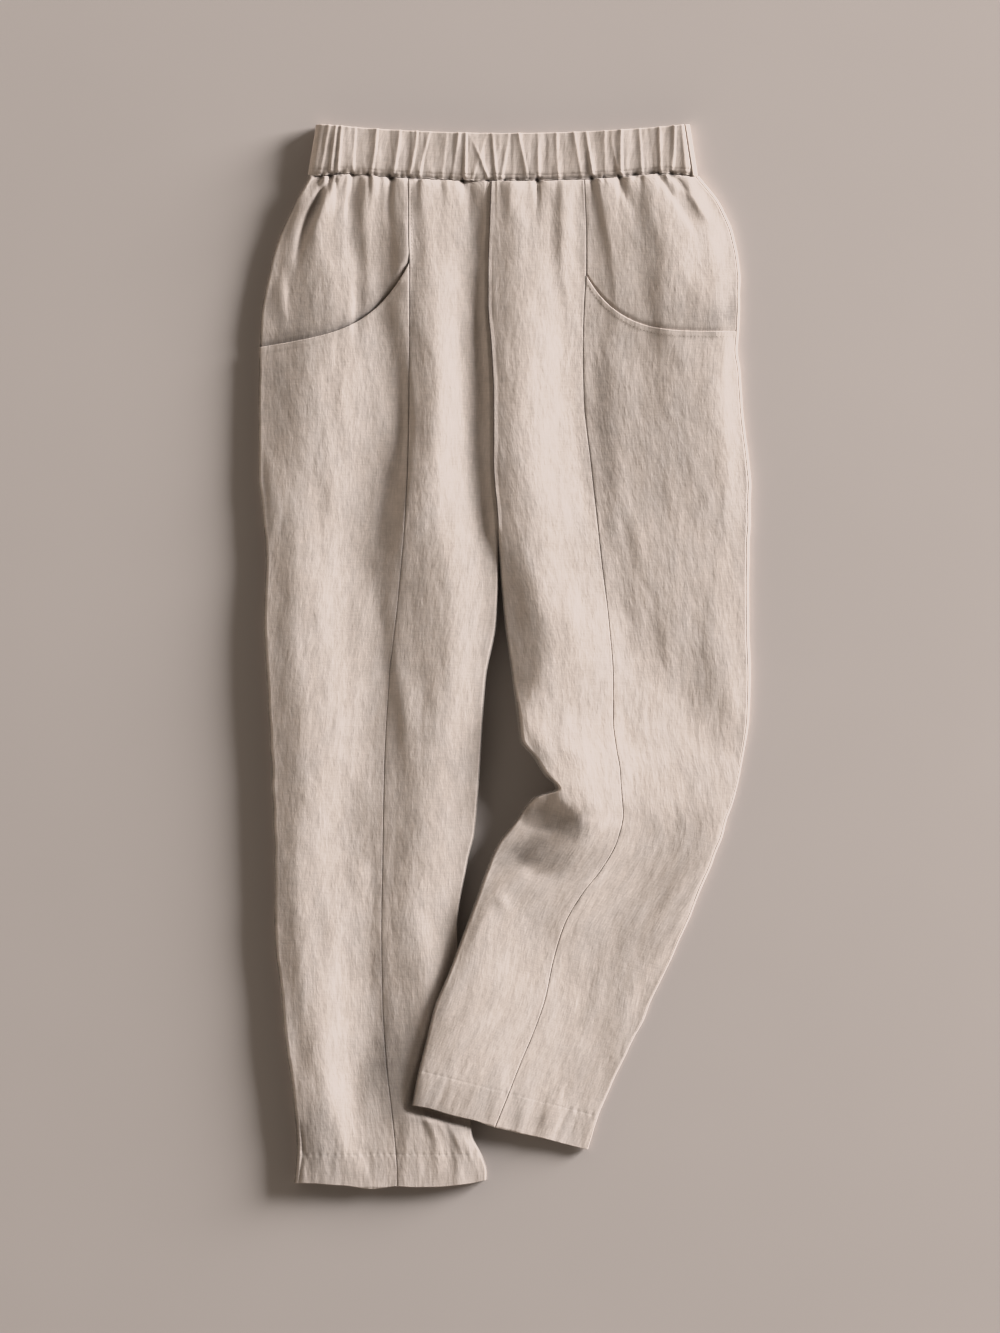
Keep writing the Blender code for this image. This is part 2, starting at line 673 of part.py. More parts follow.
def linen(name):
    """The natural linen of one piece."""
    shade = SHADES[name]
    material = bpy.data.materials.new(name)
    material.use_nodes = True
    shader = material.node_tree.nodes["Principled BSDF"]
    shader.inputs["Base Color"].default_value = (*(channel * shade for channel in LINEN), 1.0)
    shader.inputs["Roughness"].default_value = 0.9
    shader.inputs["Metallic"].default_value = 0.0
    return material


def clear_scene():
    """Remove what a new file starts with."""
    for obj in list(bpy.data.objects):
        bpy.data.objects.remove(obj, do_unlink=True)


def make_trousers():
    """Make every piece in the garment's own collection."""
    parts = bpy.data.collections.new("linen_trousers")
    bpy.context.scene.collection.children.link(parts)
    for half in (RIGHT, LEFT):
        sheet(parts, f"front_{half.name}", front_points(half), CLOTH, hem=True)
        sheet(parts, f"side_{half.name}", side_points(half), CLOTH, hem=True)
        sheet(parts, f"hip_{half.name}", hip_points(half), CLOTH)
        sheet(parts, f"back_{half.name}", back_points(half), CLOTH, hem=True)
    sheet(parts, "waistband_front", waistband_points(upper=True), CASING)
    sheet(parts, "waistband_back", waistband_points(upper=False), CASING)


clear_scene()
make_trousers()
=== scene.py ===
"""Linen trousers with an elasticated waist, laid flat: cloth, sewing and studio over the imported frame.

The wearer's left is +X, the waist points to +Y and the front faces +Z. Sizes are in millimetres and
degrees until a mesh is made. A place on the garment is given as "across", towards the wearer's left
of the middle, and "down", below the top of the waist.
"""

import logging
import math
from collections.abc import Callable, Sequence
from dataclasses import dataclass, field
from enum import Enum
from functools import reduce

import bpy
import numpy as np
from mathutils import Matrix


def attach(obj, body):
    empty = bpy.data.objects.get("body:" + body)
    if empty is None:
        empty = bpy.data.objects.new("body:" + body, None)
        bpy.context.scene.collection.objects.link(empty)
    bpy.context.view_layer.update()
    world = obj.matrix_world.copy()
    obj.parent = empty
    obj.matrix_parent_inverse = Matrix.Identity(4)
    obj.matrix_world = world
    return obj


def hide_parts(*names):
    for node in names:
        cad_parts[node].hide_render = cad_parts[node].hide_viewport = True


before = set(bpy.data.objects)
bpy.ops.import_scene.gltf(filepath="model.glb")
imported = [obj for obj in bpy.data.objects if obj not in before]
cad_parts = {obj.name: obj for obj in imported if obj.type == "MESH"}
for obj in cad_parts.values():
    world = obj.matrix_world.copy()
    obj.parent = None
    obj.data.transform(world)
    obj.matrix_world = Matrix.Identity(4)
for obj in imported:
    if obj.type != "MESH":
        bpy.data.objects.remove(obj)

log = logging.getLogger("trousers")
Array = np.ndarray

MM = 0.001
LENGTH = 957.0              # top of the waist to the lowest hem
TOP_EDGE = LENGTH / 2.0

# Walls, layers and seams
CLOTH = 1.1                 # wall of a single panel
HEM_CLOTH = 1.6             # wall where the hem is turned up
CASING = 2.0                # wall of the waistband, cloth over elastic
LOW = 0.6                   # middle of the lower wall
SEAM_GAP = 0.3              # between two pieces that are sewn edge to edge
WAIST_GAP = 0.4             # between the panels and the waistband
THINNEST = 1.8              # least distance between the middles of the two layers
ROLL_RATIO = 0.5            # width of a rolled inner edge over its half height
ROLL_SHARE = 0.3            # most of a section's half that its rolled edge may take
SEAM_ANGLE = 3.0            # from the side seam to the edges of its panels, in degrees round the roll
EDGE_ANGLE = 8.0            # degrees round a rolled edge that count as a millimetre from its seam
EDGE_RUN = 0.8              # width of a wall's rounded edge
EDGE_SHARE = 0.5            # and the share of the wall that is left at its rim
FAR = 9.0                   # any distance from an edge at which a wall is whole
LEAST_RUN = 4.0             # least distance between two contours

# Tone, and painted shade on upright cloth
SEAM_DARK = 0.26            # how much darker the cloth is right beside a seam
SEAM_FADES = 380.0          # where down the legs that line starts to fade
SEAM_FADE_RUN = 60.0        # and over what length it does
STEEP_PAINTED_SHADE = 0.68           # painted shade: how much darker the cloth is painted where it stands upright, in folds and on edges
STEEP_FROM = 0.97           # the upward part of its normal at which that starts
STEEP_RANGE = 0.45          # how far below that it is full
STEEP_AWAY = 0.25           # the share of that painted shade on cloth that leans to the wearer's right, away from the lamp
HEM_LINE = 0.09             # how much darker the hem's stitched line is

# The panels: usual distances from the long seam, which set the pitch of their grids.
FRONT_RUN = 82.0            # to the centre seam or the inner leg
SIDE_RUN = 112.0            # to the side of the leg
HIP_RUN = 125.0             # to the side of the hip
FRONT_TURN = 82.0           # how far round the inner edge the front panel reaches, in degrees
FRONT_SEAM = 70.0           # and where its wall starts to thin
BACK_TURN = 98.0            # where round that edge the back panel starts
BELOW_POCKET = 248.0        # rows from here down run straight across the leg
MOUTH_POWER = 4.2           # how soon the curved pocket mouth levels out
MOUTH_STITCH = 5.0          # from the mouth to its stitches
SEAM_STITCH = 3.0           # from the long seam to those beside it
MOUTH_PITCH = 5.2           # of the puckers along them
TUCK_START = 1.2            # how far the hip's cloth drops right at the mouth
TUCK_LENGTH = 20.0          # how far it runs on under it
HEM_DEPTH = 30.0            # from the hem's edge to its stitches
HEM_PITCH = 6.5             # of the puckers along them
HEM_WAVE = 1.4              # how far the hem's edge wanders
HEM_FADE = 60.0             # length over which the rows start to follow the curved hem
WAIST_FADE = 70.0           # and over which they stop following the curved waist seam

# The waistband
BAND_RIGHT = -169.0         # the wearer's right end, at the top edge
BAND_LEFT = 165.0           # the wearer's left end
BAND_FLARE = 7.5            # how much further out each end is at the foot
BAND_REACH = 165.0          # half the span of its curved edges
BAND_HEIGHT = 45.0
BAND_LOFT = 12.4            # height of its upper wall
BAND_SINK = 0.7             # how much lower its front lies between the folds
BAND_LOW = CASING / 2.0     # height of its lower wall
BAND_ROLL = 0.5 * (BAND_LOFT - BAND_LOW)    # width of its rolled ends
BAND_STITCHES = (1.6, 5.6)  # rows of stitches above its foot
TOP_SAG = 8.0               # how far the top edge sags in the middle
FOOT_DOWN = 42.3            # the foot seam, near the ends
FOOT_SAG = 9.0              # and how much lower it is in the middle
END_DROP = 5.0              # how far the foot seam turns down again at each end
END_FROM = 0.85             # where it starts to, as a share of the reach
END_RUN = 0.2               # and over what share
PLEAT_RISE = 1.3            # height of the folds for each unit of their table
PINCH = 1.3                 # how deep each draws in the seam at its foot, for the same unit
PINCH_AHEAD = 1.2           # how far on the wearer's right of its crest it does
PINCH_WIDTH = 1.6           # and over what width
BACK_GATHERS = 26
BACK_GATHER_LENGTH = 55.0   # how far down the back the gathers run

# The legs, parted and crossed
CROTCH = 358.0              # where the centre seam ends and the inner edges start to roll
CROTCH_BLEND = 45.0         # over what length they do
LEG_BLEND = 50.0            # length over which the body's folds pass into those of the legs
LEG_LIFT = 5.0              # how far the left leg is raised over the right one
LIFT_RAMP = 70.0            # width over which it comes down outside the right leg, at first
LIFT_RAMP_WIDE = 140.0      # and towards the hem
LIFT_INSIDE = 16.0          # how far inside the right leg's edge that starts
LIFT_FROM = 625.0           # where down the leg it starts to rise
LIFT_FULL = 715.0           # and where it is fully raised
PRESSED = 3.8               # height of the right leg's upper cloth under the left shin
PRESS_START = (-30.0, 700.0)    # two points on the left shin's inner edge: where it crosses,
PRESS_CORNER = (-84.0, 882.0)   # and the inner corner of its hem
PRESS_MARGIN = 8.0          # how far outside that edge the cloth starts to sink
PRESS_EASE = 10.0           # width over which it sinks
HEM_SLANT = 0.26            # how much lower the left hem runs, for each step away from that corner


# Curves and fields

def ease(value: Array) -> Array:
    """Rise smoothly from 0 to 1 as the value does: 3v^2 - 2v^3."""
    value = np.clip(value, 0.0, 1.0)
    return value * value * (3.0 - 2.0 * value)


def bell(offset: Array, width: float) -> Array:
    """Fall from 1 as exp(-r^2), r being the offset over the width."""
    return np.exp(-(offset / width) ** 2)


def monotone(places: Sequence[float], levels: Sequence[float], at: Array) -> Array:
    """Read a table as a smooth curve that never overshoots its rows.

    Each stretch is a cubic whose end slopes are the harmonic mean of the slopes beside them.

    Args:
        places: the rows' places, rising.
        levels: the value at each row.
        at: where to read it.

    Returns:
        The value at each place, held level past the ends.
    """
    place = np.asarray(places, float)
    level = np.asarray(levels, float)
    step = np.diff(place)
    slope = np.diff(level) / step
    tangent = np.concatenate([slope[:1], np.zeros(len(place) - 2), slope[-1:]])
    same_way = slope[:-1] * slope[1:] > 0.0
    product = np.where(same_way, slope[:-1] * slope[1:], 0.0)
    tangent[1:-1] = 2.0 * product / np.where(same_way, slope[:-1] + slope[1:], 1.0)
    index = np.clip(np.searchsorted(place, at) - 1, 0, len(step) - 1)
    run = step[index]
    t = np.clip((at - place[index]) / run, 0.0, 1.0)
    start = level[index] * (1.0 + 2.0 * t) * (1.0 - t) ** 2 + run * tangent[index] * t * (1.0 - t) ** 2
    end = level[index + 1] * t * t * (3.0 - 2.0 * t) + run * tangent[index + 1] * t * t * (t - 1.0)
    return start + end


def wander(across: Array, down: Array, cell_across: float, cell_down: float, seed: int) -> Array:
    """A smooth uneven field between -1 and 1: seeded values on a lattice, eased between its points.

    Args:
        across: places across the cloth.
        down: places down the cloth.
        cell_across: the lattice's pitch across.
        cell_down: its pitch down.
        seed: which field this is.

    Returns:
        The field at each place.
    """
    lattice = np.random.default_rng(seed).uniform(-1.0, 1.0, (512, 512))
    u = across / cell_across + 128.0
    v = down / cell_down + 128.0
    column = np.floor(u).astype(int)
    row = np.floor(v).astype(int)
    u = ease(u - column)
    v = ease(v - row)
    column %= 511
    row %= 511
    near = lattice[row, column] * (1.0 - u) + lattice[row, column + 1] * u
    far = lattice[row + 1, column] * (1.0 - u) + lattice[row + 1, column + 1] * u
    return near * (1.0 - v) + far * v


def wander_along(place: Array, cell: float, seed: int) -> Array:
    """A smooth uneven curve between -1 and 1: the field read along a line close to its first axis."""
    return wander(place, place, cell, 900.0, seed)


@dataclass(frozen=True)
class Crease:
    """A ridge, or a valley where its rise is below zero, along a given line.

    Attributes:
        line: its (across, down) points, from the waist down, or from right to left if it is lying.
        rise: its height at each point.
        right: width of the flank on the wearer's right, or on the waist side if it is lying.
        left: width of the other flank.
        lying: whether it runs across the leg rather than down it.
    """

    line: tuple[tuple[float, float], ...]
    rise: tuple[float, ...]
    right: float
    left: float
    lying: bool = False

    def height(self, across: Array, down: Array) -> Array:
        """The crease's share of the cloth's height.

        Its section is a bell over the offset from its line, measured square to it and divided by the
        flank's width. Past the ends of the line it dies away as a bell twice as long as the flanks
        are wide.

        Args:
            across: places across the garment.
            down: places down it.

        Returns:
            The height at each place.
        """
        along, beside = (across, down) if self.lying else (down, across)
        places = [point[0 if self.lying else 1] for point in self.line]
        centres = [point[1 if self.lying else 0] for point in self.line]
        fade = 2.0 * max(self.right, self.left)
        height = np.zeros_like(along)
        near = (along > places[0] - 2.5 * fade) & (along < places[-1] + 2.5 * fade)
        if not near.any():
            return height
        here = along[near]
        centre = monotone(places, centres, here)
        slope = monotone(places, centres, here + 1.0) - monotone(places, centres, here - 1.0)
        offset = (beside[near] - centre) / np.sqrt(1.0 + (slope / 2.0) ** 2)
        offset = offset / np.where(offset < 0.0, self.right, self.left)
        past = (here - np.clip(here, places[0], places[-1])) / fade
        height[near] = monotone(places, self.rise, here) * np.exp(-offset ** 2 - past ** 2)
        return height


@dataclass(frozen=True)
class Contour:
    """The top of a long fold, or the bottom of the hollow beside it.

    Attributes:
        points: its (across, down, height) from the waist down.
    """

    points: tuple[tuple[float, float, float], ...]

    def read(self, down: Array) -> tuple[Array, Array]:
        """Where the contour lies across, and how high."""
        across, place, height = zip(*self.points)
        return monotone(place, across, down), monotone(place, height, down)


def relief(contours: Sequence[Contour], across: Array, down: Array) -> Array:
    """Height of cloth whose section passes through each contour in turn.

    Each stretch is a cubic, level at a crest or a hollow; where the section goes on rising or falling
    through a contour, its slope there is the harmonic mean of the slopes beside it. Past the first and
    last contour the cloth stays level.

    Args:
        contours: from the wearer's right to left.
        across: places across the garment.
        down: places down it.

    Returns:
        The height at each place.
    """
    places, heights = zip(*(contour.read(down) for contour in contours))
    runs = [np.maximum(after - before, LEAST_RUN) for before, after in zip(places, places[1:])]
    slopes = [(after - before) / run for before, after, run in zip(heights, heights[1:], runs)]
    tangents = [np.zeros_like(across)]
    for before, after in zip(slopes, slopes[1:]):
        same_way = before * after > 1e-9
        mean = 2.0 * before * after / np.where(same_way, before + after, 1.0)
        tangents.append(np.where(same_way, mean, 0.0))
    tangents.append(np.zeros_like(across))
    total = heights[0]
    for k, run in enumerate(runs):
        t = np.clip((across - places[k]) / run, 0.0, 1.0)
        bend = tangents[k] * t * (1.0 - t) ** 2 - tangents[k + 1] * t * t * (1.0 - t)
        total = total + (heights[k + 1] - heights[k]) * ease(t) + run * bend
    return total


# The garment's outline and folds

@dataclass(frozen=True)
class LegRow:
    """One section across a leg.

    Attributes:
        down: where it crosses the long front seam.
        seam: the long seam's place across.
        lean: how far the section's outer end drops, in degrees.
        side: from the long seam out to the side edge.
        inner: from the long seam in to the centre seam, or to the inner leg edge.
    """

    down: float
    seam: float
    lean: float
    side: float
    inner: float


@dataclass(frozen=True)
class Patch:
    """A soft-edged area of painted light or shade, where the cloth's tone is a little lighter or darker.

    Attributes:
        across, down: its middle.
        half_width, half_length: its half sizes, across and down before it is turned.
        tone: how much lighter it is.
        turn: how far its lower end is turned to the wearer's right, in degrees.
    """

    across: float
    down: float
    half_width: float
    half_length: float
    tone: float
    turn: float = 0.0

    def shade(self, across: Array, down: Array) -> Array:
        """The patch's share of the tone: exp(-r^3) over its turned ellipse, with an uneven rim.

        Args:
            across: places across the garment.
            down: places down it.

        Returns:
            What it adds to the tone.
        """
        angle = math.radians(self.turn)
        x = across - self.across
        y = down - self.down
        u = (x * math.cos(angle) + y * math.sin(angle)) / self.half_width
        v = (y * math.cos(angle) - x * math.sin(angle)) / self.half_length
        rim = 0.35 * wander(across, down, 6.0, 9.0, 91) + 0.25 * wander(across, down, 2.6, 5.0, 92)
        return self.tone * np.exp(-(u * u + v * v) ** 1.5 * (1.0 + rim)) * (1.0 + 0.5 * rim)


@dataclass(frozen=True)
class Pleat:
    """A fold in the waistband's front, from its top edge to its foot.

    Attributes:
        top: where its crest crosses the top edge.
        foot: where it meets the foot.
        rise_top: how high it stands there.
        rise_foot: how high it stands at the foot.
        width: of the flank on the wearer's right, the steep one.
        bow: how far it bends to the left at half height.
    """

    top: float
    foot: float
    rise_top: float
    rise_foot: float
    width: float = 2.6
    bow: float = 0.0


@dataclass(frozen=True)
class Half:
    """One half of the garment: its outline and what tells it from the other half.

    Attributes:
        name: "right" or "left", as worn.
        sign: -1 on the wearer's right, +1 on the left.
        rows: the sections across the leg.
        contours: the leg's long folds.
        creases: every smaller fold that the upper layer shows.
        side_turn: where the side seam lies round the rolled edge, 0 on top and 180 below.
        side_roll: width of the rolled side edge over its half height.
        mouth_top: where the pocket mouth leaves the long seam.
        mouth_depth: how much lower it reaches the side.
        mouth_tilt: how much of that depth is an even slant.
        mouth_shade: painted shadow of the pocket's lip on the hip's cloth: how much darker it is close to
            the mouth, and more widely.
        tuck: how far the hip's cloth dives under the pocket mouth, and over what run.
        hem_sag: how much lower the middle of the hem is.
        hem_corner: how far its inner end is drawn up besides.
        seam_faint: share of the long seam's dark line that fades down the leg.
        seed: which uneven crinkle its cloth has.
    """

    name: str
    sign: int
    rows: tuple[LegRow, ...]
    contours: tuple[Contour, ...]
    creases: tuple[Crease, ...]
    side_turn: float
    side_roll: float
    mouth_top: float
    mouth_depth: float
    mouth_tilt: float
    mouth_shade: tuple[float, float]
    tuck: tuple[float, float]
    hem_sag: float
    hem_corner: float
    seam_faint: float
    seed: int

    @property
    def waist(self) -> float:
        """Where the first section lies."""
        return self.rows[0].down

    @property
    def hem(self) -> float:
        """Where the last one lies."""
        return self.rows[-1].down

    def read(self, value: Callable[[LegRow], float], down: Array) -> Array:
        """Read one value of the rows as a smooth curve."""
        return monotone([row.down for row in self.rows], [value(row) for row in self.rows], down)

    def seam(self, down: Array) -> Array:
        """Where the long front seam lies across."""
        return self.read(lambda row: row.seam, down)

    def inner(self, down: Array) -> Array:
        """Where a section's inner end would lie if it didn't lean."""
        return self.read(lambda row: row.seam - self.sign * row.inner, down)

    def width(self, down: Array, outwards: int) -> Array:
        """From the long seam to the side edge (+1), or to the inner end (-1).

        Args:
            down: where the section crosses the long seam.
            outwards: which of the two.

        Returns:
            The distance.
        """
        if outwards > 0:
            return self.read(lambda row: row.side, down)
        return self.sign * (self.seam(down) - self.inner(down))

    def place(self, across: Array, down: Array) -> tuple[Array, Array]:
        """World x and y of a point measured outwards from the long seam, along its section.

        Args:
            across: distance outwards from the long seam, below zero towards the inner leg.
            down: where the section crosses that seam.

        Returns:
            Its x and y.
        """
        lean = np.radians(self.read(lambda row: row.lean, down))
        x = self.seam(down) + self.sign * across * np.cos(lean)
        y = TOP_EDGE - down - across * np.sin(lean)
        return x, y

    def seam_depth(self, down: Array) -> Array:
        """How dark the long seam's line is: it fades below the hips."""
        return SEAM_DARK * (1.0 - self.seam_faint * ease((down - SEAM_FADES) / SEAM_FADE_RUN))

    def mouth(self, share: Array) -> Array:
        """The pocket mouth's place down: a power curve that levels out, plus an even slant.

        Args:
            share: of the way from the long seam to the side.

        Returns:
            The place down.
        """
        curve = 1.0 - (1.0 - np.clip(share, 0.0, 1.0)) ** MOUTH_POWER
        depth = (1.0 - self.mouth_tilt) * curve + self.mouth_tilt * share
        return self.mouth_top + self.mouth_depth * depth


RIGHT_ROWS = (
    LegRow(48, -87, 0, 90, 75),
    LegRow(72, -87, 0, 102, 74),
    LegRow(99, -87, 0, 115, 73),
    LegRow(129, -86, 0, 125, 71),
    LegRow(162, -86, 0, 132, 71),
    LegRow(200, -86, 0, 135, 74),
    LegRow(248, -86, 0, 135, 76),
    LegRow(303, -87, 0, 135, 77),
    LegRow(358, -90, 0, 127, 84),
    LegRow(395, -93, 0, 122, 88),
    LegRow(445, -98, 0, 119, 91),
    LegRow(500, -104, 0, 110, 87),
    LegRow(573, -108.3, 0, 102, 86.5),
    LegRow(637, -109.7, 0, 98.3, 82.5),
    LegRow(661, -110, 0, 97, 77),
    LegRow(724, -111, 0, 96, 69),
    LegRow(787, -110, 0, 91, 70),
    LegRow(841, -107, 0, 88, 71),
    LegRow(886, -102, 0, 87, 71),
    LegRow(909, -99.5, 0, 88, 70.5),
    LegRow(926, -98, 0, 89, 77),
    LegRow(943, -97, 0, 91, 81),
    LegRow(950, -97, 0, 92, 80.5),
    LegRow(956, -97, 0, 92.5, 75),
)

LEFT_ROWS = (
    LegRow(48, 71, 0, 103, 83),
    LegRow(72, 72, 0, 121, 85),
    LegRow(99, 73, 0, 132, 87),
    LegRow(129, 73, 0, 137, 88),
    LegRow(162, 71, 0, 140, 86),
    LegRow(200, 70, 0, 139, 82),
    LegRow(248, 71, 0, 142, 81),
    LegRow(303, 77, 0, 142, 87),
    LegRow(358, 83, 0, 137, 89),
    LegRow(395, 87, 0, 132, 92),
    LegRow(445, 93, 1, 126, 94),
    LegRow(500, 97, 2, 123, 91),
    LegRow(536, 97, 4, 121, 87),
    LegRow(562, 100, 6, 113, 88),
    LegRow(579, 103, 7, 107, 78),
    LegRow(594, 104, 9, 102, 71),
    LegRow(607, 105, 10, 96, 61),
    LegRow(619, 106, 10, 92, 82),
    LegRow(643, 101, 11, 88, 93),
    LegRow(669, 87, 12, 91, 97),
    LegRow(692, 69, 13, 99, 89),
    LegRow(720, 53, 14, 102, 83),
    LegRow(753, 43, 14.5, 96, 85),
    LegRow(786, 36, 14.6, 89, 90),
    LegRow(815, 26, 14.6, 85, 92),
    LegRow(846, 13, 14.6, 83, 87),
    LegRow(874, 2, 14.6, 82, 83),
    LegRow(901, -9, 14.6, 85, 77),
)

# The long folds from the waist to the crotch, from the wearer's right edge to the left one. Crests
# and hollows take turns.
BODY = (
    Contour(((-172, 48, 11.0), (-197, 86, 9.2), (-212, 130, 8.4), (-219, 185, 8.6), (-221, 260, 9.2),
             (-221, 330, 9.5), (-216, 410, 10.2))),
    Contour(((-160, 48, 13.0), (-164, 86, 13.2), (-166, 112, 12.8), (-160, 140, 13.2), (-160, 175, 13.2),
             (-172, 220, 14.0), (-175, 248, 14.2), (-180, 290, 13.8), (-186, 340, 13.0),
             (-187, 410, 13.0))),
    Contour(((-132, 48, 12.2), (-136, 86, 11.6), (-130, 112, 10.8), (-116, 140, 10.6), (-108, 190, 10.4),
             (-97, 235, 9.0), (-95, 274, 8.8), (-106, 310, 7.9), (-114, 356, 7.6), (-119, 410, 7.4))),
    Contour(((-95, 48, 13.2), (-95, 112, 12.8), (-96, 160, 13.0), (-86, 200, 12.6), (-80, 248, 13.0),
             (-79, 284, 13.0), (-90, 320, 12.2), (-97, 356, 11.8), (-98, 410, 11.2))),
    Contour(((-72, 48, 14.2), (-69, 100, 14.8), (-67, 190, 15.2), (-60, 248, 15.6), (-62, 310, 16.0),
             (-60, 356, 15.8), (-56, 391, 15.5), (-52, 427, 15.1))),
    Contour(((-30, 48, 13.2), (-27, 112, 11.4), (-27, 190, 9.5), (-27, 284, 9.5), (-25, 320, 9.5),
             (-19, 356, 9.7), (-12, 391, 10.0), (-8, 410, 10.8))),
    Contour(((-14, 48, 13.6), (-10, 112, 14.6), (-9, 190, 15.2), (-7, 284, 15.5), (-4, 320, 15.5),
             (-2, 356, 15.0), (0, 391, 14.4), (1, 410, 13.6))),
    Contour(((12, 48, 15.4), (10, 100, 16.2), (12, 190, 16.9), (12, 284, 17.2), (13, 320, 17.3),
             (15, 356, 17.0), (21, 391, 16.8), (26, 410, 16.6))),
    Contour(((74, 48, 14.2), (77, 100, 12.2), (80, 150, 10.6), (74, 200, 8.7), (74, 270, 8.2),
             (78, 320, 8.6), (88, 356, 8.9), (97, 400, 9.1))),
    Contour(((128, 48, 14.4), (142, 90, 14.8), (156, 130, 14.0), (178, 172, 12.2), (180, 220, 12.2),
             (178, 270, 11.8), (170, 320, 10.8), (154, 360, 10.5), (141, 400, 10.4))),
    Contour(((160, 48, 12.4), (176, 90, 12.6), (184, 130, 12.0), (190, 172, 12.0), (194, 220, 11.6),
             (194, 290, 10.9), (194, 400, 9.9))),
    Contour(((172, 48, 11.0), (200, 86, 8.6), (209, 120, 7.8), (213, 150, 7.8), (214, 250, 7.4),
             (216, 290, 8.0), (218, 330, 8.8), (218, 410, 8.2))),
)

RIGHT_LEG = (
    Contour(((-216, 350, 10.4), (-214, 500, 11.8), (-210, 600, 11.8), (-208, 700, 11.4), (-203, 760, 11.2),
             (-196, 830, 11.6), (-191, 880, 11.6), (-190, 956, 9.8))),
    Contour(((-187, 380, 13.6), (-186, 464, 14.4), (-182, 530, 15.2), (-182, 600, 14.8), (-186, 660, 14.0),
             (-184, 720, 13.8), (-180, 780, 13.8), (-168, 840, 13.2), (-160, 890, 12.2), (-148, 926, 10.6),
             (-142, 956, 9.0))),
    Contour(((-119, 380, 7.4), (-121, 391, 7.4), (-116, 427, 8.0), (-112, 463, 8.4), (-109, 500, 8.6),
             (-111, 540, 9.0), (-116, 580, 9.4), (-128, 610, 9.4), (-128, 650, 8.8), (-120, 680, 8.8),
             (-121, 715, 8.8), (-122, 751, 7.6), (-119, 787, 6.8), (-123, 823, 6.4), (-129, 859, 6.2),
             (-122, 896, 7.7), (-112, 956, 7.8))),
    Contour(((-98, 380, 11.4), (-98, 410, 11.2), (-98, 427, 11.0), (-98, 463, 11.0), (-95, 500, 10.9),
             (-93, 540, 10.9), (-92, 580, 11.2), (-104, 620, 10.8), (-104, 660, 10.4), (-104, 700, 10.4),
             (-104, 740, 9.6), (-98, 787, 8.8), (-98, 823, 8.2), (-98, 859, 8.0), (-96, 900, 8.2),
             (-90, 956, 7.4))),
    Contour(((-56, 380, 15.6), (-52, 427, 15.1), (-52, 463, 14.8), (-53, 500, 14.3), (-58, 540, 14.0),
             (-68, 590, 13.7), (-77, 640, 13.2), (-86, 680, 12.2), (-84, 715, 11.2), (-75, 751, 10.8),
             (-74, 787, 10.0), (-76, 823, 9.2), (-80, 859, 8.6), (-74, 900, 8.8), (-66, 956, 7.8))),
    Contour(((-16, 380, 11.0), (-2, 427, 9.6), (-4, 463, 9.2), (-9, 500, 8.4), (-10, 571, 7.6),
             (-20, 637, 7.4), (-28, 680, 7.2), (-42, 720, 7.4), (-40, 800, 6.8), (-34, 868, 7.0),
             (-26, 910, 7.4), (-20, 950, 6.4))),
)

# The left leg bends at the knee and leans in across the right one.
LEFT_LEG = (
    Contour(((-5, 380, 12.6), (-10, 400, 10.8), (-16, 427, 8.6), (-14, 463, 8.6), (-4, 500, 11.0),
             (9, 530, 18.6), (24, 566, 21.4), (38, 590, 22.0), (38, 604, 19.0), (32, 617, 13.6),
             (28, 631, 12.2), (14, 646, 11.2), (-8, 661, 10.6), (-20, 680, 10.6), (-32, 715, 9.6),
             (-46, 751, 8.6), (-60, 787, 9.2), (-72, 823, 9.4), (-80, 859, 8.4), (-84, 880, 6.6),
             (-86, 900, 4.8))),
    Contour(((16, 380, 15.8), (20, 391, 16.2), (33, 427, 17.4), (42, 463, 18.2), (34, 500, 18.8),
             (20, 530, 19.6), (38, 566, 22.2), (47, 592, 22.4), (52, 606, 21.4), (64, 619, 19.6),
             (70, 633, 17.8), (64, 645, 16.4), (44, 661, 14.8), (4, 680, 13.4), (-18, 715, 11.6),
             (-30, 751, 9.8), (-50, 787, 10.2), (-61, 823, 10.0), (-73, 859, 9.0), (-76, 880, 7.2),
             (-78, 900, 5.2))),
    Contour(((94, 380, 8.9), (97, 400, 9.0), (104, 427, 9.0), (122, 463, 9.0), (118, 500, 10.9),
             (122, 535, 11.6), (122, 571, 13.0), (112, 607, 13.6), (108, 628, 12.2), (100, 643, 11.4),
             (84, 661, 11.4), (58, 680, 11.8), (46, 715, 10.2), (28, 751, 8.4), (14, 787, 7.8),
             (0, 823, 7.1), (-14, 859, 6.5), (-28, 895, 5.5))),
    Contour(((141, 380, 10.4), (141, 400, 10.4), (140, 427, 10.2), (152, 463, 9.6), (156, 500, 8.6),
             (172, 535, 8.4), (170, 571, 9.2), (158, 607, 8.9), (142, 643, 7.1), (128, 680, 6.3),
             (104, 715, 6.4), (80, 751, 6.0), (60, 787, 5.8), (42, 823, 5.4), (24, 859, 4.9),
             (12, 895, 4.3))),
    Contour(((192, 380, 10.0), (194, 427, 9.8), (196, 463, 9.7), (198, 500, 9.6), (202, 535, 8.2),
             (202, 571, 6.4), (198, 607, 6.0), (188, 643, 7.2), (174, 680, 7.0), (156, 715, 6.2),
             (134, 751, 5.0), (112, 787, 4.4), (92, 823, 4.0), (75, 859, 3.7), (59, 895, 3.4))),
    Contour(((218, 380, 8.4), (219, 440, 8.4), (220, 480, 8.6), (219, 510, 7.9), (217, 545, 7.2),
             (213, 571, 5.4), (209, 600, 5.2), (198, 643, 5.6), (184, 680, 5.4), (167, 715, 4.8),
             (147, 751, 3.8), (128, 787, 3.2), (111, 823, 3.2), (95, 859, 3.1), (77, 920, 3.0))),
)

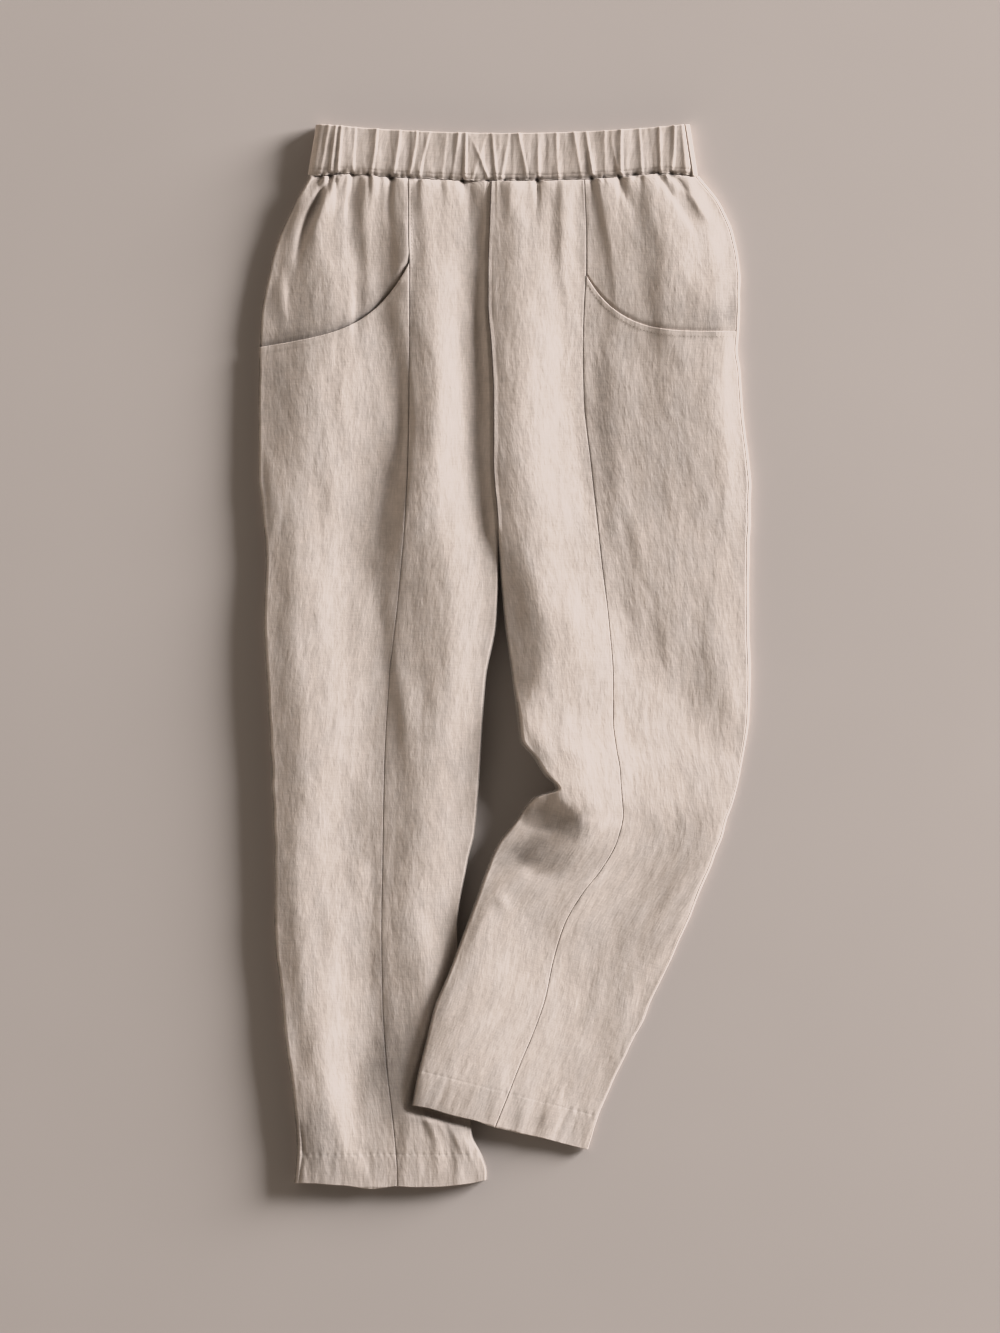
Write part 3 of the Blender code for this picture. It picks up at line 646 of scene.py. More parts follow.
BODY_CREASES = (
    Crease(((-178, 46), (-186, 80), (-196, 112)), (1.3, 1.6, 0.4), 5, 8),
    Crease(((-159, 46), (-164, 70), (-170, 96)), (3.1, 2.6, 0.7), 4, 9),
    Crease(((-140, 48), (-143, 74)), (1.4, 0.4), 4, 6),
    Crease(((-124, 48), (-126, 80), (-124, 110), (-122, 140), (-124, 165)),
           (1.8, 1.6, 1.5, 1.1, 0.4), 6, 9),
    Crease(((-88, 78), (-90, 110), (-91, 134)), (0.2, 1.2, 0.2), 6, 8),
    Crease(((-199, 130), (-200, 152), (-198, 180)), (0.2, 1.4, 0.2), 8, 4),
    Crease(((-118, 48), (-120, 70)), (1.3, 0.3), 3, 5),
    Crease(((-100, 48), (-97, 80), (-95, 110), (-94, 136), (-94, 158)), (2.0, 1.5, 1.5, 1.4, 0.7), 6, 24),
    Crease(((-75, 47), (-76, 84)), (1.3, 0.3), 4, 9),
    Crease(((-52, 48), (-50, 74)), (1.3, 0.3), 4, 7),
    Crease(((-11, 48), (-12, 66), (-16, 96), (-18, 122)), (1.7, 1.6, 1.1, 0.2), 4.5, 18),
    Crease(((6, 46), (5, 70), (4, 100)), (1.9, 1.2, 0.2), 4, 12),
    Crease(((33, 48), (33, 90)), (1.4, 0.4), 4, 10),
    Crease(((52, 50), (52, 96), (53, 140), (60, 168)), (1.7, 1.7, 0.9, 0.2), 6, 12),
    Crease(((85, 48), (91, 86), (97, 120), (101, 160), (104, 200)), (2.4, 2.0, 1.2, 0.4, 0.1), 5, 16),
    Crease(((110, 48), (112, 78)), (1.7, 0.4), 4, 8),
    Crease(((128, 48), (137, 84), (144, 118), (142, 152), (144, 186), (150, 218)),
           (1.8, 1.7, 1.5, 1.6, 1.3, 0.4), 11, 22),
    Crease(((96, 190), (98, 240), (100, 290), (104, 330)), (0.2, 1.6, 1.4, 0.3), 14, 30),
    Crease(((160, 47), (170, 66), (184, 90)), (1.6, 1.7, 0.6), 4, 9),
    Crease(((146, 47), (152, 64)), (1.8, 0.4), 3, 6),
    Crease(((190, 110), (192, 136), (188, 160)), (0.4, 1.0, 0.4), 8, 10),
    Crease(((-158, 50), (-168, 66), (-178, 86), (-185, 110), (-188, 132)),
           (-3.8, -4.2, -3.4, -1.8, -0.3), 3, 5),
    Crease(((-137, 50), (-140, 68), (-141, 90)), (-1.5, -1.2, -0.3), 3, 8),
    Crease(((-133, 135), (-133, 168), (-135, 200)), (-0.4, -1.5, -0.3), 4, 9),
    Crease(((-103, 49), (-104, 70), (-102, 100)), (-2.2, -1.2, -0.3), 3, 7),
    Crease(((-84, 52), (-83, 100), (-84, 150), (-85, 200)), (-0.8, -1.0, -0.9, -0.4), 3, 9),
    Crease(((-38, 48), (-33, 66), (-32, 96)), (-1.6, -1.4, -0.4), 3, 8),
    Crease(((29, 48), (30, 64), (30, 84)), (-1.5, -1.0, -0.2), 3, 7),
    Crease(((103, 49), (108, 64), (115, 80)), (-1.6, -1.1, -0.3), 3, 7),
    Crease(((140, 49), (151, 64), (164, 84), (176, 104)), (-1.3, -1.1, -0.8, -0.2), 3, 8),
    Crease(((152, 49), (168, 62), (184, 82)), (-1.0, -0.7, -0.2), 3, 7),
)

RIGHT_CREASES = (
    Crease(((-214, 292), (-211, 322), (-207, 370)), (0.3, 1.3, 0.3), 4, 12),
    Crease(((-160, 300), (-156, 332), (-160, 372)), (0.2, 0.9, 0.2), 6, 12),
    Crease(((-80, 215), (-80, 255), (-83, 320), (-90, 365), (-92, 420)), (0.3, 1.3, 2.3, 1.7, 0.3), 9, 24),
    Crease(((-143, 205), (-146, 240), (-142, 300)), (0.2, 0.8, 0.2), 7, 12),
    Crease(((-95, 490), (-90, 530), (-88, 590)), (0.4, 1.8, 0.5), 6, 12),
    Crease(((-129, 580), (-127, 606), (-125, 640)), (0.2, 0.8, 0.2), 8, 11),
    Crease(((-136, 655), (-132, 676), (-134, 700)), (0.2, 0.8, 0.2), 7, 9),
    Crease(((-158, 700), (-156, 730), (-160, 770)), (0.2, 0.9, 0.2), 7, 10),
    Crease(((-92, 880), (-87, 905), (-90, 944)), (0.3, 0.9, 0.5), 6, 11),
    Crease(((-68, 884), (-63, 906), (-59, 940)), (0.3, 1.0, 0.4), 5, 8),
    Crease(((-43, 900), (-39, 922), (-42, 950)), (0.2, 0.8, 0.6), 7, 9),
    Crease(((-174, 890), (-168, 914), (-160, 944)), (0.2, 1.0, 0.3), 8, 12),
    Crease(((-128, 850), (-124, 884), (-126, 924)), (0.2, 0.7, 0.2), 8, 14),
    Crease(((-184, 900), (-182, 920), (-186, 956)), (-0.4, -0.8, -0.8), 1.5, 1.5),
    Crease(((-78, 880), (-70, 896), (-62, 914)), (0.2, 0.9, 0.2), 2.5, 5),
    Crease(((-66, 884), (-58, 900), (-50, 916)), (0.2, 0.8, 0.2), 2.5, 5),
    Crease(((-54, 892), (-46, 908), (-38, 926)), (0.2, 0.9, 0.2), 2.5, 5),
    Crease(((-40, 902), (-34, 918), (-28, 934)), (0.2, 0.7, 0.2), 2.5, 5),
)

LEFT_CREASES = (
    Crease(((99, 300), (100, 330), (103, 356)), (0.2, 0.5, 0.2), 5, 10),
    Crease(((146, 300), (149, 326), (152, 356)), (0.1, 0.4, 0.1), 6, 10),
    Crease(((178, 300), (180, 326), (184, 360)), (0.1, 0.4, 0.1), 6, 9),
    Crease(((198, 300), (199, 330), (200, 372)), (0.1, 0.4, 0.1), 5, 9),
    Crease(((110, 340), (119, 370), (122, 400)), (0.2, 0.6, 0.2), 6, 12),
    Crease(((180, 440), (186, 474), (188, 500)), (0.1, 0.5, 0.1), 6, 9),
    Crease(((144, 440), (146, 470), (150, 500)), (0.1, 0.4, 0.1), 5, 9),
    Crease(((12, 622), (22, 630), (38, 632), (54, 626), (68, 620)),
           (-0.5, -1.2, -1.7, -1.6, -0.6), 8, 5, True),
    Crease(((-2, 654), (14, 662), (32, 672), (50, 672)), (-0.3, -0.9, -1.1, -0.3), 10, 8, True),
    Crease(((16, 607), (17, 616), (14, 622)), (-0.4, -1.6, -0.4), 3, 3),
    Crease(((-6, 690), (-2, 700), (2, 712)), (0.1, 0.6, 0.1), 5, 6),
    Crease(((160, 660), (150, 690), (134, 724)), (0.1, 0.5, 0.1), 5, 9),
    Crease(((-4, 860), (-8, 884), (-12, 910)), (0.2, 0.8, 0.5), 6, 8),
    Crease(((44, 868), (38, 900), (32, 930)), (0.2, 1.2, 0.9), 7, 9),
    Crease(((20, 870), (15, 894), (10, 920)), (0.2, 0.9, 0.6), 5, 7),
)

# Patches of painted light and shade: lighter where the folds face the lamp, darker where they turn from it
# or lie in shadow, as in the left shin's shadow on the right leg and at the knee.
LIGHT_AND_SHADE_PATCHES = (
    Patch(-20, 240, 10, 130, -0.05),
    Patch(110, 540, 80, 44, 0.07),
    Patch(112, 592, 84, 34, 0.10),
    Patch(24, 619, 13, 8, -0.16),
    Patch(55, 629, 20, 12, -0.28, 8),
    Patch(20, 656, 34, 13, -0.30, -8),
    Patch(52, 668, 18, 13, -0.15, -30),
    Patch(84, 648, 18, 20, -0.05),
    Patch(-2, 735, 30, 34, 0.06, 14),
    Patch(30, 810, 90, 60, 0.08, -60),
    Patch(150, 286, 42, 60, -0.06),
    Patch(166, 172, 40, 20, -0.14),
    Patch(184, 176, 24, 12, -0.07),
    Patch(98, 232, 24, 46, -0.08),
    Patch(90, 284, 14, 50, -0.09),
    Patch(-170, 168, 46, 26, -0.09),
    Patch(-206, 232, 24, 34, -0.12),
    Patch(200, 150, 12, 40, -0.20),
    Patch(204, 172, 8, 14, -0.20),
    Patch(-84, 130, 8, 70, -0.10),
    Patch(140, 380, 40, 44, 0.03),
    Patch(-100, 850, 20, 46, -0.26),
    Patch(-62, 896, 26, 12, -0.22, 20),
    Patch(-112, 838, 10, 26, -0.15),
    Patch(-82, 800, 12, 60, -0.10),
    Patch(-176, 905, 24, 26, -0.25, -20),
    Patch(-164, 938, 36, 22, -0.20),
    Patch(-26, 876, 18, 9, -0.07, 20),
    Patch(26, 896, 24, 9, -0.11, 14),
    Patch(0, 872, 16, 8, -0.08, 14),
)

RIGHT = Half(
    name="right", sign=-1, rows=RIGHT_ROWS, contours=RIGHT_LEG, creases=BODY_CREASES + RIGHT_CREASES,
    side_turn=112.0, side_roll=0.6, mouth_top=125.0, mouth_depth=75.0, mouth_tilt=0.3,
    mouth_shade=(0.42, 0.14), tuck=(2.6, 13.0), hem_sag=4.0, hem_corner=2.0, seam_faint=0.15, seed=11,
)
LEFT = Half(
    name="left", sign=1, rows=LEFT_ROWS, contours=LEFT_LEG, creases=BODY_CREASES + LEFT_CREASES,
    side_turn=16.0, side_roll=0.85, mouth_top=136.0, mouth_depth=50.0, mouth_tilt=0.0,
    mouth_shade=(0.02, 0.05), tuck=(0.9, 2.2), hem_sag=0.0, hem_corner=1.0, seam_faint=0.65, seed=23,
)

PLEATS = (
    Pleat(-157.9, -166.0, 0.9, 1.0, 3.0),
    Pleat(-151.5, -157.0, 1.2, 1.5, 2.2),
    Pleat(-146.9, -150.5, 1.2, 1.6, 2.0),
    Pleat(-134.5, -136.7, 0.6, 1.1, 2.8),
    Pleat(-115.0, -120.5, 1.1, 1.1, 3.6, 0.8),
    Pleat(-94.4, -100.7, 1.1, 1.2, 4.4, 0.8),
    Pleat(-79.0, -87.0, 1.0, 1.0, 2.8, 1.2),
    Pleat(-67.4, -77.3, 0.6, 1.1, 3.2, -0.8),
    Pleat(-52.0, -56.6, 0.4, 0.5, 3.0),
    Pleat(-41.3, -47.6, 1.0, 0.6, 2.6),
    Pleat(-35.0, -36.0, 0.9, 1.7, 2.2),
    Pleat(-16.0, -29.6, 0.3, 0.6, 3.6),
    Pleat(-33.0, -15.0, 0.0, 1.3, 1.6, 1.5),
    Pleat(-11.6, -7.6, 0.6, 1.3, 1.8),
    Pleat(3.7, -3.5, 0.3, 1.3, 3.0),
    Pleat(12.2, 21.2, 1.0, 0.7, 3.4),
    Pleat(29.8, 30.3, 0.3, 1.6, 2.4),
    Pleat(46.0, 48.7, 0.5, 0.8, 3.6, -0.6),
    Pleat(62.0, 69.4, 0.7, 0.5, 3.0),
    Pleat(73.0, 79.3, 0.9, 1.8, 2.4),
    Pleat(90.0, 90.0, 0.7, 0.4, 2.8),
    Pleat(104.5, 104.5, 1.2, 1.2, 3.0, -0.5),
    Pleat(94.0, 103.0, 0.0, 0.8, 1.8),
    Pleat(120.7, 123.4, 0.9, 1.0, 3.0),
    Pleat(138.7, 140.0, 0.9, 1.1, 2.4),
    Pleat(152.2, 149.5, 1.3, 1.1, 4.0, 1.0),
    Pleat(158.5, 163.0, 0.6, 0.5, 2.2),
)

# Where the gathered seam under the waistband opens into small dark holes: across, half-width, depth.
HOLES = (
    (-165.0, 1.6, 1.6), (-156.5, 2.2, 2.6), (-149.0, 1.6, 1.6), (-137.5, 2.0, 2.4), (-123.0, 2.2, 2.0),
    (-103.0, 3.2, 3.6), (-86.0, 2.2, 1.8), (-78.0, 1.6, 1.5), (-38.0, 1.8, 2.2), (-15.0, 1.6, 1.6),
    (-1.0, 1.3, 1.2), (11.0, 1.4, 1.2), (29.0, 2.6, 3.0), (78.0, 2.6, 3.0), (88.5, 1.3, 1.4),
    (103.0, 2.0, 2.6), (118.0, 3.0, 1.8), (138.0, 2.0, 2.4), (150.0, 2.6, 2.6), (159.0, 1.6, 1.6),
)


# The cloth's fine crinkles: rise, slant, and pitch across and down.
CRINKLES = ((0.30, 0.0, 25.0, 82.0), (0.19, 0.1, 12.0, 36.0), (0.085, -0.1, 6.0, 19.0))


# Lines and layers

def top_line(across: Array) -> Array:
    """The waistband's top edge: a shallow parabola that sags in the middle."""
    return TOP_SAG * np.clip(1.0 - (across / BAND_REACH) ** 2, 0.0, 1.0)


def pleats(across: Array, drop: Array) -> Array:
    """Height of the waistband's folds, from its top edge (drop 0) to its foot (drop 1).

    Each rises exponentially to its crest on the wearer's right, drops sharply by half just past it, and
    falls away slowly after that.

    Args:
        across: places across the band.
        drop: places down it.

    Returns:
        The height at each place.
    """
    total = np.zeros(np.broadcast(across, drop).shape)
    for pleat in PLEATS:
        crest = pleat.top + (pleat.foot - pleat.top) * drop + 4.0 * pleat.bow * drop * (1.0 - drop)
        rise = pleat.rise_top + (pleat.rise_foot - pleat.rise_top) * drop
        before = np.clip(across - crest, None, 0.0)
        past = np.clip(across - crest, 0.0, None)
        beyond = 0.5 * np.exp(-past / 0.8) + 0.5 * np.exp(-past / 8.0)
        total = total + PLEAT_RISE * rise * np.exp(before / pleat.width) * beyond
    return total


def pinch(across: Array) -> Array:
    """Depth to which each fold draws in the seam at its foot, as a bell just before its crest.

    Args:
        across: places across the garment.

    Returns:
        The depth at each place.
    """
    total = np.zeros_like(across)
    for pleat in PLEATS:
        total = total + PINCH * pleat.rise_foot * bell(across - pleat.foot + PINCH_AHEAD, PINCH_WIDTH)
    return total


def holes(across: Array, beside: Array) -> Array:
    """Depth of the seam's small holes: a bell across for each, falling off as a bell beside the seam.

    Args:
        across: places across the garment.
        beside: how far each lies from the seam.

    Returns:
        The depth at each place.
    """
    total = np.zeros(np.broadcast(across, beside).shape)
    for place, width, depth in HOLES:
        reach = 0.8 * width + 0.6
        total = total + depth * np.exp(-((across - place) / width) ** 2 - (beside / reach) ** 2)
    return total


def waist_shade(across: Array, beside: Array) -> Array:
    """Tone beside the waist seam: painted shade in its holes, and a little darker all along it."""
    return -0.13 * np.clip(holes(across, beside), 0.0, 3.5) - 0.10 * bell(beside, 1.6)


def foot_line(across: Array) -> Array:
    """The seam under the waistband: a parabola, turned down at its ends and drawn up at each fold.

    Args:
        across: places across the garment.

    Returns:
        Its place down.
    """
    sag = FOOT_SAG * (1.0 - (across / BAND_REACH) ** 2)
    ends = END_DROP * ease((np.abs(across) / BAND_REACH - END_FROM) / END_RUN)
    uneven = wander(across, np.zeros_like(across), 3.6, 9.0, 61)
    return FOOT_DOWN + sag + ends - 0.45 * pinch(across) + 0.35 * uneven


def back_gathers(across: Array) -> Array:
    """Uneven ridges of the gathered back, which stand up from the surface between flat runs.

    Args:
        across: places across the garment.

    Returns:
        Their height.
    """
    pitch = (BAND_LEFT - BAND_RIGHT) / BACK_GATHERS
    stray = 0.35 * np.sin(across / 23.0) + 0.2 * np.sin(across / 9.0)
    swell = 1.25 + 0.75 * np.sin(across / 31.0 + 1.0)
    return swell * np.clip(np.sin(math.pi * ((across - BAND_RIGHT) / pitch + stray)), 0.0, 1.0) ** 2


def pressing(across: Array, down: Array) -> Array:
    """How much the left shin presses on the right leg: 1 under it, easing out past its edge and hem.

    Args:
        across: places across the garment.
        down: places down it.

    Returns:
        The pressure, between 0 and 1.
    """
    slant = (PRESS_CORNER[0] - PRESS_START[0]) / (PRESS_CORNER[1] - PRESS_START[1])
    edge = PRESS_START[0] + slant * (down - PRESS_START[1])
    hem = PRESS_CORNER[1] + HEM_SLANT * (across - PRESS_CORNER[0])
    under = ease((across - edge + PRESS_MARGIN) / PRESS_EASE)
    return under * (1.0 - ease((down - hem) / PRESS_EASE))


@dataclass
class Cloth:
    """Heights of the two layers of a half, one over the other.

    Attributes:
        half: which half it is.
    """

    half: Half

    def crinkle(self, u: Array, v: Array) -> Array:
        """Fine uneven crinkles, longer down the leg: three fields read along lines that wander.

        Args:
            u: places across the cloth, from the long seam.
            v: places down it.

        Returns:
            The height.
        """
        seed = self.half.seed
        u = u + 7.0 * wander(u, v, 34.0, 60.0, seed + 11)
        v = v + 14.0 * wander(u, v, 25.0, 70.0, seed + 12)
        total = np.zeros_like(u)
        for k, (rise, slant, pitch_across, pitch_down) in enumerate(CRINKLES):
            total = total + rise * wander(u + slant * v, v, pitch_across, pitch_down, seed + k)
        return total

    def upper(self, across: Array, down: Array) -> Array:
        """Height of the upper layer: its long folds, smaller ones, and the waist's pinches run on.

        Args:
            across: places across the garment.
            down: places down it.

        Returns:
            The height of its middle.
        """
        half = self.half
        parted = ease((down - CROTCH) / LEG_BLEND)
        height = relief(BODY, across, down) * (1.0 - parted) + relief(half.contours, across, down) * parted
        for crease in half.creases:
            height = height + crease.height(across, down)
        below = np.clip(down - foot_line(across), 0.0, None)
        drawn = pinch(across)
        frill = wander(across, down, 3.4, 11.0, half.seed + 15)
        height = height - (2.0 - 0.6 * frill) * np.exp(-below / 4.0) - holes(across, below)
        height = height - 0.95 * drawn * np.exp(-below / 11.0)
        if half.sign < 0:
            height = height + (PRESSED - height) * pressing(across, down)
        return height

    def lower(self, across: Array, down: Array) -> Array:
        """How far the lower layer stands off the surface: gathers, and a few uneven folds.

        Args:
            across: places across the garment.
            down: places down it.

        Returns:
            The height that these add.
        """
        fade = 1.0 - ease((down - FOOT_DOWN) / BACK_GATHER_LENGTH)
        folds = np.clip(wander(across, down, 26.0, 150.0, self.half.seed + 7) - 0.25, 0.0, None)
        fine = np.clip(wander(across, down, 9.0, 60.0, self.half.seed + 8) - 0.35, 0.0, None)
        return back_gathers(across) * fade + 1.3 * folds + 0.6 * fine

    def lift(self, across: Array, down: Array) -> Array:
        """How far the left leg is raised, to lie over the right one.

        Args:
            across: places across the garment.
            down: places down it.

        Returns:
            The height that this adds to both layers.
        """
        if self.half.sign < 0:
            return np.zeros_like(across)
        ramp = LIFT_RAMP + (LIFT_RAMP_WIDE - LIFT_RAMP) * ease((down - LIFT_FULL + 40.0) / 130.0)
        beside = ease((across - RIGHT.inner(down) + LIFT_INSIDE) / ramp)
        return LEG_LIFT * (1.0 - beside) * ease((down - LIFT_FROM) / (LIFT_FULL - LIFT_FROM))

    def ring(self, down: Array, share: Array, turn: Array, outwards: int, drop: Array | float,
             inset: Array | float, upper: bool) -> tuple[Array, Array, Array, Array, Array]:
        """Points of the leg's flattened tube: a share of the way to an edge, then round that edge.

        The rolled edge is half an ellipse between the heights of the two layers.

        Args:
            down: where the section crosses the long seam.
            share: 0 at the long seam, 1 where the edge starts to roll.
            turn: degrees round the rolled edge, 0 on top, 180 below.
            outwards: +1 to the side edge, -1 to the centre or the inner leg.
            drop: how much of the roll is there, 0 on a flat seam, 1 on an edge.
            inset: how far inside the tube the wall lies.
            upper: whether the wall belongs to the upper layer.

        Returns:
            x, y and z, the distance from the long seam, and that left to the inner or side end.
        """
        half = self.half
        width = half.width(down, outwards)
        if outwards < 0:
            width = width - SEAM_GAP / 2.0 - drop * CLOTH / 2.0
        else:
            width = width + 0.7 * wander_along(down, 17.0, half.seed + 5)
        edge_x, edge_y = half.place(outwards * width, down)
        edge_down = TOP_EDGE - edge_y
        tall = np.maximum(self.upper(edge_x, edge_down) - LOW - self.lower(edge_x, edge_down), THINNEST)
        ratio = half.side_roll if outwards > 0 else ROLL_RATIO
        roll = np.minimum(ratio * tall / 2.0, ROLL_SHARE * width)
        flat = SEAM_GAP / 2.0 + share * (width - roll - SEAM_GAP / 2.0)
        angle = np.radians(turn)
        across = outwards * (flat + (roll - inset) * np.sin(angle))
        x, y = half.place(across, down)
        start_x, start_y = half.place(outwards * flat, down)
        start_down = TOP_EDGE - start_y
        lift = self.lift(start_x, start_down)
        low = LOW + lift + self.lower(start_x, start_down)
        top = self.upper(start_x, start_down) + lift + self.crinkle(outwards * flat, down)
        top = low + THINNEST + np.logaddexp(0.0, top - low - THINNEST)
        depth = (top - low) / 2.0 - inset
        if upper:
            z = top - inset - drop * depth * (1.0 - np.cos(angle))
        else:
            z = low + inset + drop * depth * (1.0 + np.cos(angle))
        return x, y, z, flat, width - flat

    def waist_shift(self, share: Array, down: Array, outwards: int) -> Array:
        """Move the first rows so that the panels start along the curved foot of the waistband.

        Args:
            share: of the way from the long seam to an edge.
            down: places down the panel.
            outwards: which edge that is.

        Returns:
            The new places down.
        """
        x, _ = self.half.place(outwards * share * self.half.width(down, outwards), down)
        first = self.half.waist
        fade = 1.0 - ease((down - first) / WAIST_FADE)
        return down + fade * (foot_line(x) + WAIST_GAP / 2.0 - first)

    def hem_shift(self, share: Array, down: Array, outwards: int) -> Array:
        """Round the hem a little, lower in the middle than at its edges, and make it uneven.

        Args:
            share: of the way from the long seam to an edge.
            down: places down the panel.
            outwards: which edge that is.

        Returns:
            The new places down.
        """
        fade = ease((down - self.half.hem + HEM_FADE) / HEM_FADE)
        wave = wander(90.0 * outwards * share, np.zeros_like(share), 24.0, 9.0, self.half.seed + 51)
        corner = self.half.hem_corner * np.clip(share, 0.0, 1.0) ** 7 * (1.0 if outwards < 0 else 0.4)
        return down - fade * (self.half.hem_sag * np.clip(share, 0.0, 1.0) ** 2 + HEM_WAVE * wave + corner)


# Meshes

@dataclass
class Surface:
    """The middle of a wall of cloth, as a grid of points, with what its finish reads.

    Attributes:
        x, y, z: places, rows by columns.
        u, v: the cut cloth's own grain, across and down.
        wall: thickness at each point.
        tone: how light the cloth is there, about 1, with its painted light and shade.
    """

    x: Array
    y: Array
    z: Array
    u: Array
    v: Array
    wall: Array
    tone: Array

    def points(self) -> Array:
        """The places as one array of rows by columns by three."""
        return np.stack([self.x, self.y, self.z], axis=2)

    def normals(self) -> Array:
        """Square to the two ways of the grid, upwards where the grid runs down and to the left.

        Returns:
            One for each point, of length 1.
        """
        points = self.points()
        normal = np.cross(np.gradient(points, axis=0), np.gradient(points, axis=1))
        return normal / np.maximum(np.linalg.norm(normal, axis=2, keepdims=True), 1e-9)

    def read(self, row: Array, column: Array) -> tuple[Array, Array]:
        """Places and normals between the grid's points, by bilinear weights.

        Args:
            row: places down the grid, in rows.
            column: places across it, in columns.

        Returns:
            The places, and the normals.
        """
        row = np.clip(row, 0.0, self.x.shape[0] - 1.001)
        column = np.clip(column, 0.0, self.x.shape[1] - 1.001)
        i = np.floor(row).astype(int)
        j = np.floor(column).astype(int)
        s = (row - i)[:, None]
        t = (column - j)[:, None]
        found = []
        for grid in (self.points(), self.normals()):
            near = grid[i, j] * (1.0 - t) + grid[i, j + 1] * t
            far = grid[i + 1, j] * (1.0 - t) + grid[i + 1, j + 1] * t
            found.append(near * (1.0 - s) + far * s)
        return found[0], found[1]


def wall_near_edges(distance: Array, wall: Array | float) -> Array:
    """Thin a wall to a rounded edge: a quarter circle over its last stretch, down to a share of it."""
    inside = np.clip(distance / EDGE_RUN, 0.0, 1.0)
    return wall * (EDGE_SHARE + (1.0 - EDGE_SHARE) * np.sqrt(1.0 - (1.0 - inside) ** 2))


def nearest(*distances: Array) -> Array:
    """The least of several distances, point by point."""
    return reduce(np.minimum, distances)


def from_ends(columns: int) -> Array:
    """Distance of each column from the nearer end, at half a millimetre a column."""
    column = np.arange(columns)
    return np.minimum(column, column[::-1])[None, :] * 0.5


def crossing(values: Array, level: float) -> Array:
    """Where, in columns and parts of one, each row of rising values passes a level.

    Args:
        values: rows by columns.
        level: what they rise past.

    Returns:
        The place in each row.
    """
    last = values.shape[1] - 1
    after = np.clip((values > level).argmax(axis=1), 1, last)
    rows = np.arange(len(values))
    low = values[rows, after - 1]
    step = np.maximum(values[rows, after] - low, 1e-6)
    return after - 1.0 + np.clip((level - low) / step, 0.0, 1.0)


def put_mesh(name: str, points: Array, faces: Array) -> bpy.types.Object:
    """Make an object of quads, and link it.

    Args:
        name: the piece's name.
        points: its vertices, in millimetres.
        faces: four of them to a row.

    Returns:
        The piece.
    """
    mesh = bpy.data.meshes.new(name)
    mesh.vertices.add(len(points))
    mesh.vertices.foreach_set("co", (points * MM).astype(np.float32).ravel())
    mesh.loops.add(faces.size)
    mesh.loops.foreach_set("vertex_index", faces.astype(np.int32).ravel())
    mesh.polygons.add(len(faces))
    mesh.polygons.foreach_set("loop_start", np.arange(0, faces.size, 4, dtype=np.int32))
    mesh.update(calc_edges=True)
    mesh.shade_smooth()
    obj = bpy.data.objects.new(name, mesh)
    bpy.context.scene.collection.objects.link(obj)
    return obj


def slab(name: str, surface: Surface) -> bpy.types.Object:
    """Give a surface its wall: the grid moved half the wall each way, and joined round its rim.

    Args:
        name: the piece's name.
        surface: the middle of its wall.

    Returns:
        The closed piece, with its grain as a UV map in metres and its tone, painted shade on upright cloth
        included, as an attribute.
    """
    rows, columns = surface.x.shape
    normals = surface.normals()
    offset = normals * surface.wall[:, :, None] / 2.0
    # Painted shade: cloth that stands upright, in folds and on rolled edges, is darkened. It is darkened
    # fully where it faces the lamp on the wearer's left and less where it turns away, which dims its lit
    # rims.
    steep = ease((STEEP_FROM - np.abs(normals[:, :, 2])) / STEEP_RANGE)
    steep = steep * (STEEP_AWAY + (1.0 - STEEP_AWAY) * ease(0.5 + normals[:, :, 0]))
    tone_with_painted_shade = surface.tone * (1.0 - STEEP_PAINTED_SHADE * steep)
    points = surface.points()
    outer = (points + offset).reshape(-1, 3)
    inner = (points - offset).reshape(-1, 3)
    index = np.arange(rows * columns).reshape(rows, columns)
    quads = np.stack([index[:-1, :-1], index[1:, :-1], index[1:, 1:], index[:-1, 1:]], axis=2)
    quads = quads.reshape(-1, 4)
    rim = np.concatenate([index[:, 0], index[-1, 1:], index[-2::-1, -1], index[0, -2:0:-1]])
    after = np.roll(rim, -1)
    count = rows * columns
    sides = np.stack([rim, rim + count, after + count, after], axis=1)
    faces = np.concatenate([quads, quads[:, ::-1] + count, sides])
    obj = put_mesh(name, np.concatenate([outer, inner]), faces)
    mesh = obj.data
    grain = np.stack([surface.u.ravel(), surface.v.ravel()], axis=1) * MM
    grain = np.concatenate([grain, grain])[faces.ravel()]
    mesh.uv_layers.new(name="grain").data.foreach_set("uv", grain.astype(np.float32).ravel())
    tone = np.tile(tone_with_painted_shade.ravel(), 2).astype(np.float32)
    mesh.attributes.new("tone", "FLOAT", "POINT").data.foreach_set("value", tone)
    return obj


def near_both_ends(length: float, step: float) -> Array:
    """Shares of a run: even steps, and closer ones in the first and last few millimetres.

    Args:
        length: of the run.
        step: of its even part.

    Returns:
        The shares, from 0 to 1.
    """
    close = np.array([0.0, 0.35, 0.8, 1.4, 2.3, 3.6])
    even = np.linspace(close[-1] + step, length - close[-1] - step,
                       max(2, round((length - 2.0 * close[-1]) / step)))
    return np.concatenate([close, even, length - close[::-1]]) / length


def grain_across(x: Array, z: Array) -> Array:
    """How far along the cloth each column lies from the first, measured over its folds."""
    run = np.hypot(np.diff(x, axis=1), np.diff(z, axis=1))
    return np.concatenate([np.zeros((len(x), 1)), np.cumsum(run, axis=1)], axis=1)


